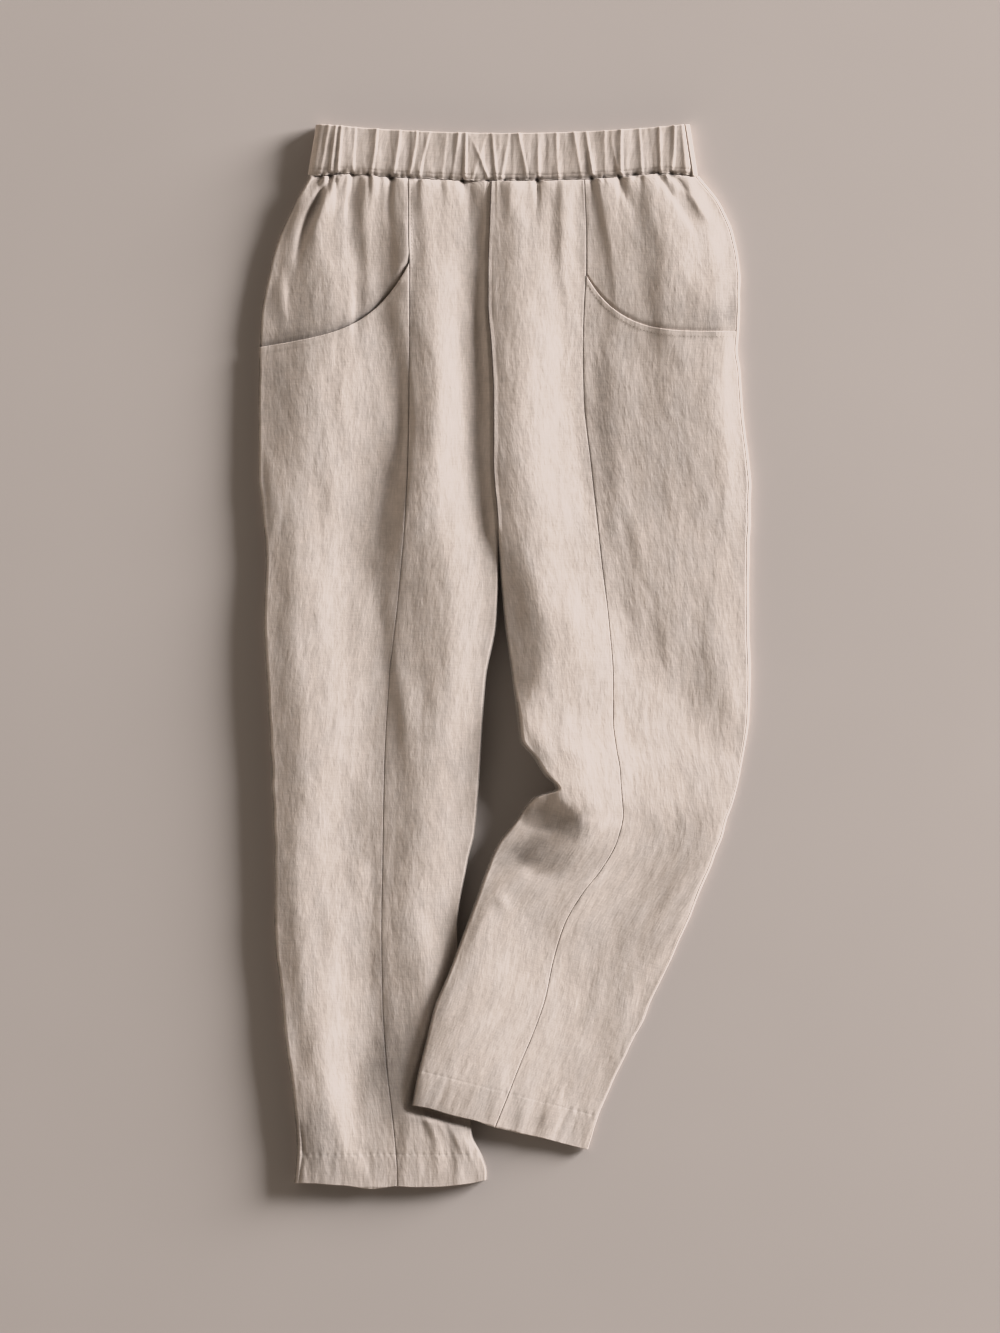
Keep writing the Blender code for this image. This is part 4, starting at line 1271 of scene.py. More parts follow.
def tone_of(x: Array, down: Array, z: Array, depth: float = 0.12) -> Array:
    """Tone of the cloth: its patches of painted light and shade, and painted shade in the bottoms of its
    folds with a little painted light on their tops.

    Args:
        x: places across the garment.
        down: places down it.
        z: their heights.
        depth: how strongly the painted shade darkens a fold's hollow.

    Returns:
        The tone, about 1.
    """
    tone = np.ones_like(x)
    for patch in LIGHT_AND_SHADE_PATCHES:
        tone = tone + patch.shade(x, down)
    # Painted shade in the bottoms of the folds, and a little painted light on their tops.
    hollow = z - (np.roll(z, 3, axis=1) + np.roll(z, -3, axis=1)) / 2.0
    hollow[:, :3] = 0.0
    hollow[:, -3:] = 0.0
    return tone + np.clip(depth * hollow, -depth / 2.0, depth / 6.0)


def seam_ditch(distance: Array, depth: Array | float = 0.10) -> Array:
    """Cloth beside a seam: it dips to the seam, over the raised band of the turned-in edges."""
    return 0.06 * (1.0 - ease((distance - 6.0) / 4.0)) - depth * bell(distance, 1.1)


def seam_tone(distance: Array, depth: Array | float = SEAM_DARK) -> Array:
    """Darker cloth beside a seam: a narrow bell on a low broad one."""
    return -depth * (bell(distance, 0.7) + 0.45 * bell(distance, 2.4))


def puckers(along: Array, distance: Array, at: float, pitch: float, seed: int) -> Array:
    """Small uneven dips where a row of stitches draws the cloth in, with a low swell between.

    Args:
        along: places along the stitches.
        distance: of each place from the edge they follow.
        at: how far from that edge they run.
        pitch: of the puckers.
        seed: which uneven curve they follow.

    Returns:
        The height at each place.
    """
    wave = np.sin(2.0 * math.pi * along / pitch + 1.6 * wander_along(along, 13.0, seed))
    reach = bell(distance - at, 2.6)
    strength = 0.6 + 0.4 * wander_along(along, 21.0, seed + 1)
    return reach * strength * 0.14 * wave - 0.05 * bell(distance - at, 0.9)


def read_along(at: Array, run: Array, values: Array) -> Array:
    """Read points or vectors, given at places along a line, at other places along it."""
    return np.stack([np.interp(at, run, values[:, axis]) for axis in range(3)], axis=1)


@dataclass
class Stitching:
    """Rows of stitches laid on one piece of cloth.

    Attributes:
        name: the stitches' name.
        length: of a stitch.
        pitch: from one stitch to the next.
        radius: of the thread.
        rows: each row's places and normals.
    """

    name: str
    length: float = 2.5
    pitch: float = 3.3
    radius: float = 0.20
    rows: list[tuple[Array, Array]] = field(default_factory=list)

    def lay(self, surface: Surface, row: Array, column: Array) -> None:
        """Lay one row of stitches along a line on a surface's outer face.

        Args:
            surface: what they are sewn through.
            row: places down its grid, in rows.
            column: places across its grid, in columns.
        """
        places, normals = surface.read(row, column)
        self.rows.append((places + normals * (CLOTH / 2.0 - self.radius * 0.1), normals))

    def build(self) -> bpy.types.Object:
        """Make every stitch: a spindle of five four-sided rings, its square tips sunk into the cloth.

        Returns:
            All the stitches as one piece.
        """
        middles, ways, ups = [], [], []
        for places, normals in self.rows:
            steps = np.linalg.norm(np.diff(places, axis=0), axis=1)
            run = np.concatenate([[0.0], np.cumsum(steps)])
            at = np.arange(self.pitch / 2.0, run[-1], self.pitch)
            first, last = (read_along(at + end * self.length / 2.0, run, places) for end in (-1, 1))
            ways.append(last - first)
            middles.append((first + last) / 2.0)
            ups.append(read_along(at, run, normals))
        middle, way, up = (np.concatenate(part) for part in (middles, ways, ups))
        beside = np.cross(way, up)
        beside /= np.maximum(np.linalg.norm(beside, axis=1, keepdims=True), 1e-9)
        stations = np.array([-0.5, -0.36, 0.0, 0.36, 0.5])
        sizes = np.array([0.25, 0.85, 1.0, 0.85, 0.25]) * self.radius
        sink = np.array([-1.5, -0.35, 0.15, -0.35, -1.5]) * self.radius
        angle = (np.arange(4) + 0.5) * math.pi / 2.0
        points = (middle[:, None, None] + stations[None, :, None, None] * way[:, None, None]
                  + (sizes[:, None] * np.cos(angle))[None, :, :, None] * beside[:, None, None]
                  + (sizes[:, None] * np.sin(angle) + sink[:, None])[None, :, :, None] * up[:, None, None])
        ring, spoke = np.meshgrid(np.arange(4), np.arange(4), indexing="ij")
        near = ring * 4 + spoke
        far = ring * 4 + (spoke + 1) % 4
        sides = np.stack([near, near + 4, far + 4, far], axis=2).reshape(-1, 4)
        caps = np.array([[0, 1, 2, 3], [19, 18, 17, 16]])
        shape = np.concatenate([sides, caps])
        faces = (np.arange(len(middle))[:, None, None] * 20 + shape[None]).reshape(-1, 4)
        return put_mesh(self.name, points.reshape(-1, 3), faces)


# Pieces of cloth

class Held(Enum):
    """How a piece of cloth is held."""

    LAID = "laid"
    GATHERED = "gathered"


@dataclass(frozen=True)
class Cut:
    """The flat size of a piece of cloth.

    Attributes:
        width, length: in metres.
        area: in square metres.
    """

    width: float
    length: float
    area: float


class Side(Enum):
    """Which kind of panel a piece is."""

    FRONT = "front"
    SIDE = "side"
    HIP = "hip"
    BACK = "back"


@dataclass
class Panel:
    """One cut panel of a half.

    Attributes:
        half: the half it belongs to.
        kind: which of the half's panels it is.
        cut: its flat size.
        step: the pitch of its grid.
        cloth: the heights that it follows.
        surface: the middle of its wall.
        flat: distance of each of its points from the long seam.
        down: how far down each of them was cut.
    """

    half: Half
    kind: Side
    cut: Cut
    step: float
    cloth: Cloth = field(init=False)
    surface: Surface = field(init=False)
    flat: Array = field(init=False)
    down: Array = field(init=False)

    def __post_init__(self) -> None:
        """Work out the panel's surface."""
        self.cloth = Cloth(self.half)
        makers = {Side.FRONT: self.front, Side.SIDE: self.side, Side.HIP: self.hip, Side.BACK: self.back}
        self.surface = makers[self.kind]()

    @property
    def name(self) -> str:
        """The name of the solid that the panel stands for."""
        return f"{self.kind.value}_{self.half.name}"

    def levels(self, first: float, last: float, hem: bool = True) -> Array:
        """Rows down the panel: close under the waist and round the hem's stitching, even between.

        Args:
            first: where the panel starts.
            last: where it ends.
            hem: whether that is a hem.

        Returns:
            The rows' places down.
        """
        start = first + np.array([0.0, 0.4, 1.0, 1.8, 2.8, 4.0, 5.3, 6.7, 8.2, 9.8])
        if not hem:
            return np.concatenate([start, np.linspace(start[-1] + self.step, last,
                                                      round((last - start[-1]) / self.step))])
        turned = last - HEM_DEPTH
        around = turned + np.array([-4.0, -2.4, -1.3, -0.6, 0.0, 0.6, 1.3, 2.4, 4.0])
        even = np.linspace(start[-1] + self.step, around[0] - self.step,
                           round((around[0] - start[-1]) / self.step) - 1)
        below = np.linspace(around[-1] + 2.0, last - 3.0, 12)
        end = last - np.array([1.8, 1.0, 0.4, 0.0])
        return np.concatenate([start, even, around, below, end])

    def hem_relief(self, along: Array, down: Array) -> Array:
        """The turned-up hem: a raised band, a dip at its stitches, and small uneven creases in it.

        Args:
            along: distance of each point from the long seam.
            down: its place down.

        Returns:
            The height that it adds.
        """
        up = self.half.hem - down
        band = 0.05 * (1.0 - ease((up - HEM_DEPTH + 1.0) / 3.0))
        crease = wander(along, down, 5.0, 26.0, self.half.seed + 31)
        crease = 0.26 * crease * ease(1.6 - up / HEM_DEPTH)
        return band + crease + 2.0 * puckers(along, up, HEM_DEPTH, HEM_PITCH, self.half.seed + 33)

    def finish_surface(self, ring: tuple[Array, ...], down: Array, extra: Array, ends: Array,
                       hem: bool = True, upper: bool = True, shade: Array | float = 0.0) -> Surface:
        """Add a panel's own relief to its ring and give it its wall and tone.

        Args:
            ring: what Cloth.ring returned.
            down: the rows' places.
            extra: relief of the seams and edges.
            ends: distance to the nearest edge of the panel.
            hem: whether its last rows are a hem.
            upper: whether it is part of the upper layer.
            shade: what its seams and edges add to its tone, painted shade and shadow included.

        Returns:
            The finished surface.
        """
        x, y, z, flat, _ = ring
        self.flat, self.down = flat, down
        wall = np.full_like(x, CLOTH)
        if hem:
            up = self.half.hem - down
            turned = 1.0 - ease((up - HEM_DEPTH + 0.8) / 1.6)
            wall = CLOTH + (HEM_CLOTH - CLOTH) * turned
            extra = extra + (self.hem_relief(flat, down) - 0.32 * (wall - CLOTH) if upper
                             else (wall - CLOTH) / 2.0)
            shade = shade - HEM_LINE * bell(up - HEM_DEPTH, 1.0)
        tone = tone_of(x, TOP_EDGE - y, z) if upper else np.ones_like(x)
        wall = wall_near_edges(ends, wall)
        return Surface(x, y, z + extra, grain_across(x, z), down, wall, tone + shade)

    def front(self) -> Surface:
        """The centre front panel, from the long seam to the centre seam or the inner leg.

        Returns:
            The finished surface.
        """
        half = self.half
        share = near_both_ends(FRONT_RUN, self.step)
        turns = np.array([12.0, 24.0, 36.0, 48.0, 60.0, FRONT_SEAM, 78.0, FRONT_TURN])
        share = np.concatenate([share, np.ones(len(turns))])
        turn = np.concatenate([np.zeros(len(share) - len(turns)), turns])
        down, share = np.meshgrid(self.levels(half.waist, half.hem), share, indexing="ij")
        turn = np.broadcast_to(turn, down.shape)
        down = self.cloth.waist_shift(share, down, -1)
        down = self.cloth.hem_shift(share, down, -1)
        drop = ease((down - CROTCH) / CROTCH_BLEND)
        ring = self.cloth.ring(down, share, turn, -1, drop, 0.0, True)
        flat, left = ring[3], ring[4]
        left_to_go = left * (1.0 - np.sin(np.radians(turn)))
        depth = half.seam_depth(down)
        extra = seam_ditch(flat, 0.25 * depth) + (1.0 - drop) * seam_ditch(left_to_go, 0.03)
        waist = down - self.cloth.waist_shift(share, np.full_like(down, half.waist), -1)
        inner_end = np.where(turn >= FRONT_SEAM, (FRONT_TURN - turn) / EDGE_ANGLE, FAR)
        ends = nearest(flat - SEAM_GAP / 2.0, waist, half.hem - down, inner_end)
        shade = seam_tone(flat, depth) + (1.0 - drop) * seam_tone(left_to_go, 0.06)
        shade = shade + waist_shade(ring[0], waist)
        return self.finish_surface(ring, down, extra, ends, shade=shade)

    def side_columns(self, run: float) -> tuple[Array, Array]:
        """Columns of an upper panel out to the side edge, then round it just short of the side seam.

        Args:
            run: a usual distance out to that edge.

        Returns:
            Each column's share of the way out, and its turn round the edge in degrees.
        """
        share = near_both_ends(run, self.step)
        last = self.half.side_turn - SEAM_ANGLE
        turns = np.linspace(0.0, last, 11)[1:] if last > 45.0 else np.array([last * 0.6, last])
        turn = np.concatenate([np.zeros(len(share)), turns])
        return np.concatenate([share, np.ones(len(turns))]), turn

    def side(self) -> Surface:
        """The side front panel, from the pocket mouth down to the hem.

        Returns:
            The finished surface.
        """
        half = self.half
        share, turn = self.side_columns(SIDE_RUN)
        levels = self.levels(half.mouth_top, half.hem)
        fall = (levels[levels <= BELOW_POCKET] - half.mouth_top)[:, None]
        mouth = half.mouth(share)[None, :]
        curved = mouth + fall * (BELOW_POCKET - mouth) / (BELOW_POCKET - half.mouth_top)
        far = np.repeat(levels[levels > BELOW_POCKET][:, None], len(share), axis=1)
        down = np.concatenate([curved, far])
        share = np.broadcast_to(share, down.shape)
        turn = np.broadcast_to(turn, down.shape)
        down = self.cloth.hem_shift(share, down, 1)
        ring = self.cloth.ring(down, share, turn, 1, 1.0, 0.0, True)
        flat = ring[3]
        under = down - half.mouth(share)
        lip = 0.22 * (1.0 - ease((under - 4.5) / 3.0))
        lip = lip + puckers(flat, under, MOUTH_STITCH, MOUTH_PITCH, half.seed + 41)
        lip = lip + 0.16 * wander(flat, under, 4.2, 30.0, half.seed + 43) * bell(under, 14.0)
        depth = half.seam_depth(down)
        extra = seam_ditch(flat, 0.25 * depth) + lip
        seam_end = (turn.max() - turn) / EDGE_ANGLE + 2.0 * (turn < 1e-6)
        extra = extra - 0.1 * bell(seam_end, 1.2)
        seam_end = np.where(turn > 0.0, seam_end, FAR)
        ends = nearest(flat - SEAM_GAP / 2.0, under, half.hem - down, seam_end)
        return self.finish_surface(ring, down, extra, ends, shade=seam_tone(flat, depth))

    def hip(self) -> Surface:
        """The hip panel, from the waistband down to its tuck under the pocket mouth.

        Returns:
            The finished surface.
        """
        half = self.half
        share, turn = self.side_columns(HIP_RUN)
        first = half.waist
        run = self.levels(first, half.mouth_top, hem=False)[:, None] - first
        mouth = half.mouth(share)[None, :]
        down = first + run * (mouth - first) / (half.mouth_top - first)
        tail = np.array([1.0, 2.5, 5.0, 9.0, 14.0, 19.0, TUCK_LENGTH])[:, None]
        down = np.concatenate([down, mouth + tail])
        share = np.broadcast_to(share, down.shape)
        turn = np.broadcast_to(turn, down.shape)
        tuck, tuck_run = half.tuck
        inset = TUCK_START * ease((down - mouth + 3.0) / 2.5)
        inset = inset + (tuck - TUCK_START) * ease((down - mouth + tuck_run) / tuck_run)
        under = down - first
        down = self.cloth.waist_shift(share, down, 1)
        ring = self.cloth.ring(down, share, turn, 1, 1.0, inset, True)
        flat = ring[3]
        seam_end = np.where(turn > 0.0, (turn.max() - turn) / EDGE_ANGLE, FAR)
        above = np.clip(half.mouth(share) - down, 0.0, None)
        steep = (half.mouth(share + 0.01) - half.mouth(share - 0.01)) / 2.5
        beside = above / np.hypot(1.0, steep)
        near, wide = half.mouth_shade
        shade = seam_tone(flat) + waist_shade(ring[0], under)
        # Painted shadow of the pocket's lip on the hip's cloth above the mouth: strong close to it and
        # fading towards the side, with a weaker band more widely, away from the long seam.
        shade = shade - near * (1.0 - 0.7 * ease((share - 0.35) / 0.4)) * np.exp(-beside / 4.0)
        shade = shade - wide * ease(share / 0.3) * bell(beside, 15.0)
        ends = nearest(flat - SEAM_GAP / 2.0, under, mouth + TUCK_LENGTH - down, seam_end)
        return self.finish_surface(ring, down, seam_ditch(flat), ends, False, shade=shade)

    def back(self) -> Surface:
        """The back panel, flat on the surface, from the inner edge round to the side seam.

        Returns:
            The finished surface.
        """
        half = self.half
        levels = self.levels(half.waist, half.hem)
        inner_turn = np.linspace(BACK_TURN, 180.0, 9)[:-1]
        last = half.side_turn + SEAM_ANGLE
        side_turn = np.linspace(180.0, last, 8 if last > 90.0 else 16)
        flat_share = near_both_ends(FRONT_RUN, self.step)
        inner_share = np.concatenate([np.ones(len(inner_turn)), flat_share[::-1]])
        inner_turns = np.concatenate([inner_turn, np.full(len(flat_share), 180.0)])
        side_share = near_both_ends(SIDE_RUN, self.step)[1:]
        outer_share = np.concatenate([side_share, np.ones(len(side_turn) - 1)])
        outer_turns = np.concatenate([np.full(len(side_share), 180.0), side_turn[1:]])
        found = []
        for share, turn, outwards in ((inner_share, inner_turns, -1), (outer_share, outer_turns, 1)):
            down, shares = np.meshgrid(levels, share, indexing="ij")
            turns = np.broadcast_to(turn, down.shape)
            down = self.cloth.waist_shift(shares, down, outwards)
            down = self.cloth.hem_shift(shares, down, outwards)
            drop = ease((down - CROTCH) / CROTCH_BLEND) if outwards < 0 else 1.0
            ring = self.cloth.ring(down, shares, turns, outwards, drop, 0.0, False)
            found.append((*ring, down))
        x, y, z, flat, left, down = (np.concatenate(pair, axis=1) for pair in zip(*found))
        ends = nearest(from_ends(x.shape[1]), (levels - levels[0])[:, None], (levels[-1] - levels)[:, None])
        return self.finish_surface((x, y, z, flat, left), down, np.zeros_like(x), ends, upper=False)

    def sew_down(self, rows: Stitching, beside: float, first: float, last: float) -> None:
        """Lay stitches down the panel, a little beside its long seam.

        Args:
            rows: the piece that takes them.
            beside: how far from the seam.
            first: where down the panel they start.
            last: where they end.
        """
        column = crossing(self.flat, beside)
        index = np.arange(len(column))
        place = self.down[index, np.round(column).astype(int)]
        here = (place > first) & (place < last)
        rows.lay(self.surface, index[here].astype(float), column[here])

    def sew_across(self, rows: Stitching, level: Array | float) -> None:
        """Lay stitches across the panel, level with a place down it, and clear of its ends.

        Args:
            rows: the piece that takes them.
            level: that place, for each column.
        """
        row = crossing(self.down.T - np.broadcast_to(level, self.down.shape[1])[:, None], 0.0)
        column = np.arange(len(row), dtype=float)
        rows.lay(self.surface, row[3:-3], column[3:-3])

    def sew(self) -> Stitching:
        """Every row of stitches on this panel.

        Returns:
            The stitches, still to be built.
        """
        half = self.half
        rows = Stitching(f"{self.name}_stitches")
        hem = half.hem - HEM_DEPTH
        if self.kind is not Side.HIP:
            self.sew_across(rows, hem)
        if self.kind is Side.SIDE:
            share = np.clip(self.flat[0] / self.flat[0].max(), 0.0, 1.0)
            self.sew_across(rows, half.mouth(share) + MOUTH_STITCH)
        if self.kind is Side.FRONT:
            self.sew_down(rows, SEAM_STITCH, half.waist + 8.0, half.mouth_top)
        return rows

    def build(self) -> bpy.types.Object:
        """Make the panel's mesh."""
        return slab(self.name, self.surface)


@dataclass
class Waistband:
    """The front or back half of the elastic casing.

    Attributes:
        upper: whether it is the front half.
        cut: its flat size.
        step: the pitch of its grid across.
        surface: the middle of its wall.
    """

    upper: bool
    cut: Cut
    step: float = 0.8
    surface: Surface = field(init=False)

    def __post_init__(self) -> None:
        """Work out the band's surface."""
        self.surface = self.band()

    @property
    def name(self) -> str:
        """The name of the solid that the band stands for."""
        return "waistband_front" if self.upper else "waistband_back"

    def columns(self) -> tuple[Array, Array, Array]:
        """The band's columns, from its end on the wearer's right to the other one.

        Returns:
            Where each lies across at the top edge, the end round which it turns (-1 for the right
            one, 1 for the left one, 0 between them), and how far it turns there, in radians.
        """
        ends = (BAND_RIGHT + BAND_ROLL, BAND_LEFT - BAND_ROLL)
        count = round((ends[1] - ends[0]) / self.step)
        if self.upper:
            right = np.linspace(RIGHT.side_turn - SEAM_ANGLE, 0.0, 13)[:-1]
            left = np.array([LEFT.side_turn - SEAM_ANGLE])
            rest = 0.0
        else:
            right = np.linspace(RIGHT.side_turn + SEAM_ANGLE, 180.0, 9)[:-1]
            left = np.linspace(180.0, LEFT.side_turn + SEAM_ANGLE, 17)[1:]
            rest = 180.0
        turn = np.radians(np.concatenate([right, np.full(count, rest), left]))
        end = np.concatenate([-np.ones(len(right)), np.zeros(count), np.ones(len(left))])
        top = np.pad(np.linspace(*ends, count), (len(right), len(left)), mode="edge")
        return top, end, turn

    def heights(self, start: Array, across: Array, down: Array, drop: Array) -> tuple[Array, Array]:
        """Heights of the band's two walls.

        In front, the folds and small creases are drawn in at the stitches and at the foot seam.

        Args:
            start: where each point's column leaves the flat part of the band.
            across: where the point lies.
            down: its place down.
            drop: its share of the way from the top edge to the foot.

        Returns:
            The upper wall's heights, and the lower one's.
        """
        seed = 71 if self.upper else 83
        fine = 0.26 * wander(start, down, 5.2, 44.0, seed) + 0.15 * wander(start, down, 2.6, 16.0, seed + 1)
        low = BAND_LOW + back_gathers(start) * 0.8
        if not self.upper:
            return np.full_like(start, BAND_LOFT), low + 0.5 * np.clip(fine, 0.0, None)
        high = BAND_LOFT - BAND_SINK + pleats(across, drop) + fine
        from_foot = (1.0 - drop) * BAND_HEIGHT
        draw = 0.6 + 0.4 * wander_along(start, 9.0, seed + 5)
        for above in BAND_STITCHES:
            high = high - 0.35 * draw * bell(from_foot - above, 0.8)
        high = high + 0.4 * wander(start, down, 11.0, 60.0, seed + 6) - holes(across, from_foot)
        frill = wander(start, down, 3.1, 9.0, seed + 7)
        return high - (1.5 - 0.5 * frill) * bell(from_foot, 4.5), low

    def band(self) -> Surface:
        """Points down the band and across it, round its rolled ends.

        Returns:
            The finished surface.
        """
        levels = np.concatenate([[0.0, 0.3, 0.8, 1.5, 2.4], np.linspace(3.6, 36.0, 24),
                                 np.linspace(37.0, 44.0, 12), [44.4, 44.8, BAND_HEIGHT]])
        drop = (levels / BAND_HEIGHT)[:, None]
        top, end, turn = self.columns()
        start = top * (1.0 + BAND_FLARE / BAND_REACH * drop)
        across = start + end * BAND_ROLL * np.sin(turn)
        edge = top_line(across) + 0.25 - 0.3 * pleats(across, np.zeros_like(drop))
        down = edge + drop * (foot_line(across) - WAIST_GAP / 2.0 - edge)
        high, low = self.heights(start, across, down, drop)
        half = (high - low) / 2.0
        z = high - half * (1.0 - np.cos(turn)) if self.upper else low + half * (1.0 + np.cos(turn))
        tone = np.ones_like(z)
        if self.upper:
            # Painted shade in the pleats' hollows, stronger than on the panels, and in the waist seam's
            # holes.
            tone = tone_of(across, down, z, 0.3) + waist_shade(across, (1.0 - drop) * BAND_HEIGHT)
        near = nearest(from_ends(z.shape[1]), levels[:, None], (BAND_HEIGHT - levels)[:, None])
        wall = wall_near_edges(near, CASING)
        return Surface(across, TOP_EDGE - down, z, grain_across(across, z), down, wall, tone)

    def sew(self) -> Stitching:
        """Two rows of stitches along the band's foot.

        Returns:
            The stitches, still to be built.
        """
        rows = Stitching(f"{self.name}_stitches")
        column = np.arange(8.0, self.surface.x.shape[1] - 8.0)
        level = self.surface.v[:, 0] - self.surface.v[0, 0]
        for above in BAND_STITCHES:
            row = np.interp(BAND_HEIGHT - above, level, np.arange(len(level)))
            rows.lay(self.surface, np.full_like(column, row), column)
        return rows

    def build(self) -> bpy.types.Object:
        """Make the band's mesh."""
        return slab(self.name, self.surface)


# Finishes

Socket = bpy.types.NodeSocket


@dataclass
class Graph:
    """A short way to add and join the nodes of a material or a world.

    Attributes:
        tree: what the nodes are added to.
    """

    tree: bpy.types.NodeTree

    def add(self, kind: str, inputs: dict[str | int, object] | None = None,
            **settings: object) -> bpy.types.Node:
        """Add one node.

        Args:
            kind: its type, such as ShaderNodeMath.
            inputs: values or sockets for its inputs, by name or number.
            settings: its own properties.

        Returns:
            The node.
        """
        node = self.tree.nodes.new(kind)
        for name, value in settings.items():
            setattr(node, name, value)
        for name, value in (inputs or {}).items():
            if isinstance(value, Socket):
                self.tree.links.new(value, node.inputs[name])
            else:
                node.inputs[name].default_value = value
        return node

    def math(self, operation: str, *values: object) -> Socket:
        """One step of arithmetic on values or sockets."""
        return self.add("ShaderNodeMath", dict(enumerate(values)), operation=operation).outputs[0]

    def noise(self, vector: Socket, scale: tuple[float, float], detail: float,
              roughness: float = 0.55) -> Socket:
        """Noise stretched along the grain, between 0 and 1.

        Args:
            vector: what it is read by.
            scale: across and down the grain.
            detail: how many finer layers it has.
            roughness: how strong they are.

        Returns:
            Its value.
        """
        mapping = self.add("ShaderNodeMapping", {"Vector": vector, "Scale": (*scale, 1.0)})
        inputs = {"Vector": mapping.outputs[0], "Scale": 1.0, "Detail": detail, "Roughness": roughness}
        return self.add("ShaderNodeTexNoise", inputs).outputs["Fac"]

    def ramp(self, value: Socket, span: tuple[float, float], to: tuple[float, float] = (0.0, 1.0),
             shape: str = "LINEAR") -> Socket:
        """Take a value from one span to another, held level past its ends.

        Args:
            value: what to map.
            span: where the ramp starts and ends.
            to: what it gives there.
            shape: LINEAR, or SMOOTHSTEP for one that eases in and out.

        Returns:
            The mapped value.
        """
        inputs = {"Value": value, "From Min": span[0], "From Max": span[1],
                  "To Min": to[0], "To Max": to[1]}
        return self.add("ShaderNodeMapRange", inputs, interpolation_type=shape).outputs[0]

    def scaled(self, colour: Socket | tuple[float, float, float], light: Socket) -> Socket:
        """A colour made lighter or darker."""
        return self.add("ShaderNodeVectorMath", {0: colour, "Scale": light}, operation="SCALE").outputs[0]

    def bump(self, height: Socket, distance: float, strength: float = 1.0,
             below: Socket | None = None) -> Socket:
        """A normal that a height field tilts, over another normal if one is given.

        Args:
            height: the field.
            distance: its full height, in metres.
            strength: how much of it counts.
            below: the normal that it tilts.

        Returns:
            The normal.
        """
        inputs = {"Height": height, "Distance": distance, "Strength": strength}
        if below is not None:
            inputs["Normal"] = below
        return self.add("ShaderNodeBump", inputs).outputs[0]

    def shade(self, colour: Socket, normal: Socket | None, constants: dict[str, float]) -> None:
        """Finish a material's shader.

        Args:
            colour: its base colour.
            normal: its normal, or None to leave it plain.
            constants: its other inputs, by name.
        """
        inputs = self.tree.nodes["Principled BSDF"].inputs
        self.tree.links.new(colour, inputs["Base Color"])
        if normal is not None:
            self.tree.links.new(normal, inputs["Normal"])
        for name, value in constants.items():
            inputs[name].default_value = value


def new_material(name: str) -> bpy.types.Material:
    """A new material with nodes.

    Args:
        name: of the finish.

    Returns:
        The material.
    """
    material = bpy.data.materials.new(name)
    material.use_nodes = True
    return material


@dataclass(frozen=True)
class Linen:
    """Plain-woven natural linen: slubby threads both ways, mottled, dull with a faint sheen.

    Attributes:
        name: the finish's name.
        colour: its mean colour.
        grey: the cooler colour of its thin places.
        pitch: from one thread to the next, in metres.
        warp: how much the thick and thin threads down the cloth change its lightness.
        weft: how much those across it do.
        streak: how strong the streaks down the grain are.
        swell: how strong the broad soft swells are.
        blotch: how much darker its close-woven places are than its open ones.
        slub: how pale its slubs are.
        crinkle: height of the fine bumps, in metres.
    """

    name: str
    colour: tuple[float, float, float] = (0.575, 0.485, 0.434)
    grey: tuple[float, float, float] = (0.505, 0.447, 0.420)
    pitch: float = 0.0007
    warp: float = 0.34
    weft: float = 0.32
    streak: float = 0.12
    swell: float = 0.36
    blotch: float = 0.085
    slub: float = 0.07
    crinkle: float = 0.00026

    def material(self) -> bpy.types.Material:
        """Build the finish.

        The tone that the mesh carries is added to by six noises: thick and thin threads down the cloth,
        the same across it, streaks a few millimetres wide, broad soft swells, sharper-edged patches and
        a few pale slubs. The sum scales the colour, which the swells draw towards grey. The weave is the
        product of two sines, one for each way of the threads.

        Returns:
            The material.
        """
        material = new_material(self.name)
        graph = Graph(material.node_tree)
        grain = graph.add("ShaderNodeUVMap", uv_map="grain").outputs[0]
        warp = graph.noise(grain, (760.0, 90.0), 2.0, 0.7)
        weft = graph.noise(grain, (90.0, 760.0), 2.0, 0.7)
        slubs = graph.ramp(graph.noise(grain, (420.0, 90.0), 1.0), (0.60, 0.72))
        streaks = graph.noise(grain, (250.0, 62.0), 3.0, 0.6)
        broad = graph.noise(grain, (40.0, 16.0), 4.0, 0.64)
        patches = graph.noise(grain, (84.0, 34.0), 4.0, 0.66)
        patches = graph.ramp(patches, (0.42, 0.58), (-0.5, 0.5), "SMOOTHSTEP")
        # The mesh's tone carries its painted light and shade as well as its uneven tone.
        light = graph.add("ShaderNodeAttribute", attribute_name="tone").outputs["Fac"]
        noises = (warp, self.warp), (weft, self.weft), (streaks, self.streak), (broad, self.swell)
        for part, share in noises:
            light = graph.math("MULTIPLY_ADD", graph.math("SUBTRACT", part, 0.5), share, light)
        light = graph.math("MULTIPLY_ADD", patches, self.blotch, light)
        light = graph.math("MULTIPLY_ADD", slubs, self.slub, light)
        cool = graph.ramp(broad, (0.42, 0.7), (0.0, 0.55))
        mixed = graph.add("ShaderNodeMix", {"Factor": cool, 6: (*self.colour, 1.0), 7: (*self.grey, 1.0)},
                          data_type="RGBA").outputs[2]
        parts = graph.add("ShaderNodeSeparateXYZ", {0: grain}).outputs
        turn = math.pi / self.pitch
        sines = [graph.math("SINE", graph.math("MULTIPLY", part, turn)) for part in (parts[0], parts[1])]
        woven = graph.math("MULTIPLY", *sines)
        threads = graph.math("MULTIPLY_ADD", woven, 0.35, graph.math("ADD", warp, weft))
        folds = graph.math("MULTIPLY_ADD", broad, 4.2, graph.math("MULTIPLY_ADD", patches, 0.15, streaks))
        normal = graph.bump(folds, self.crinkle, below=graph.bump(threads, 0.00005))
        graph.shade(graph.scaled(mixed, light), normal, {
            "Roughness": 0.88, "Specular IOR Level": 0.22, "Sheen Weight": 0.18, "Sheen Roughness": 0.45,
        })
        return material


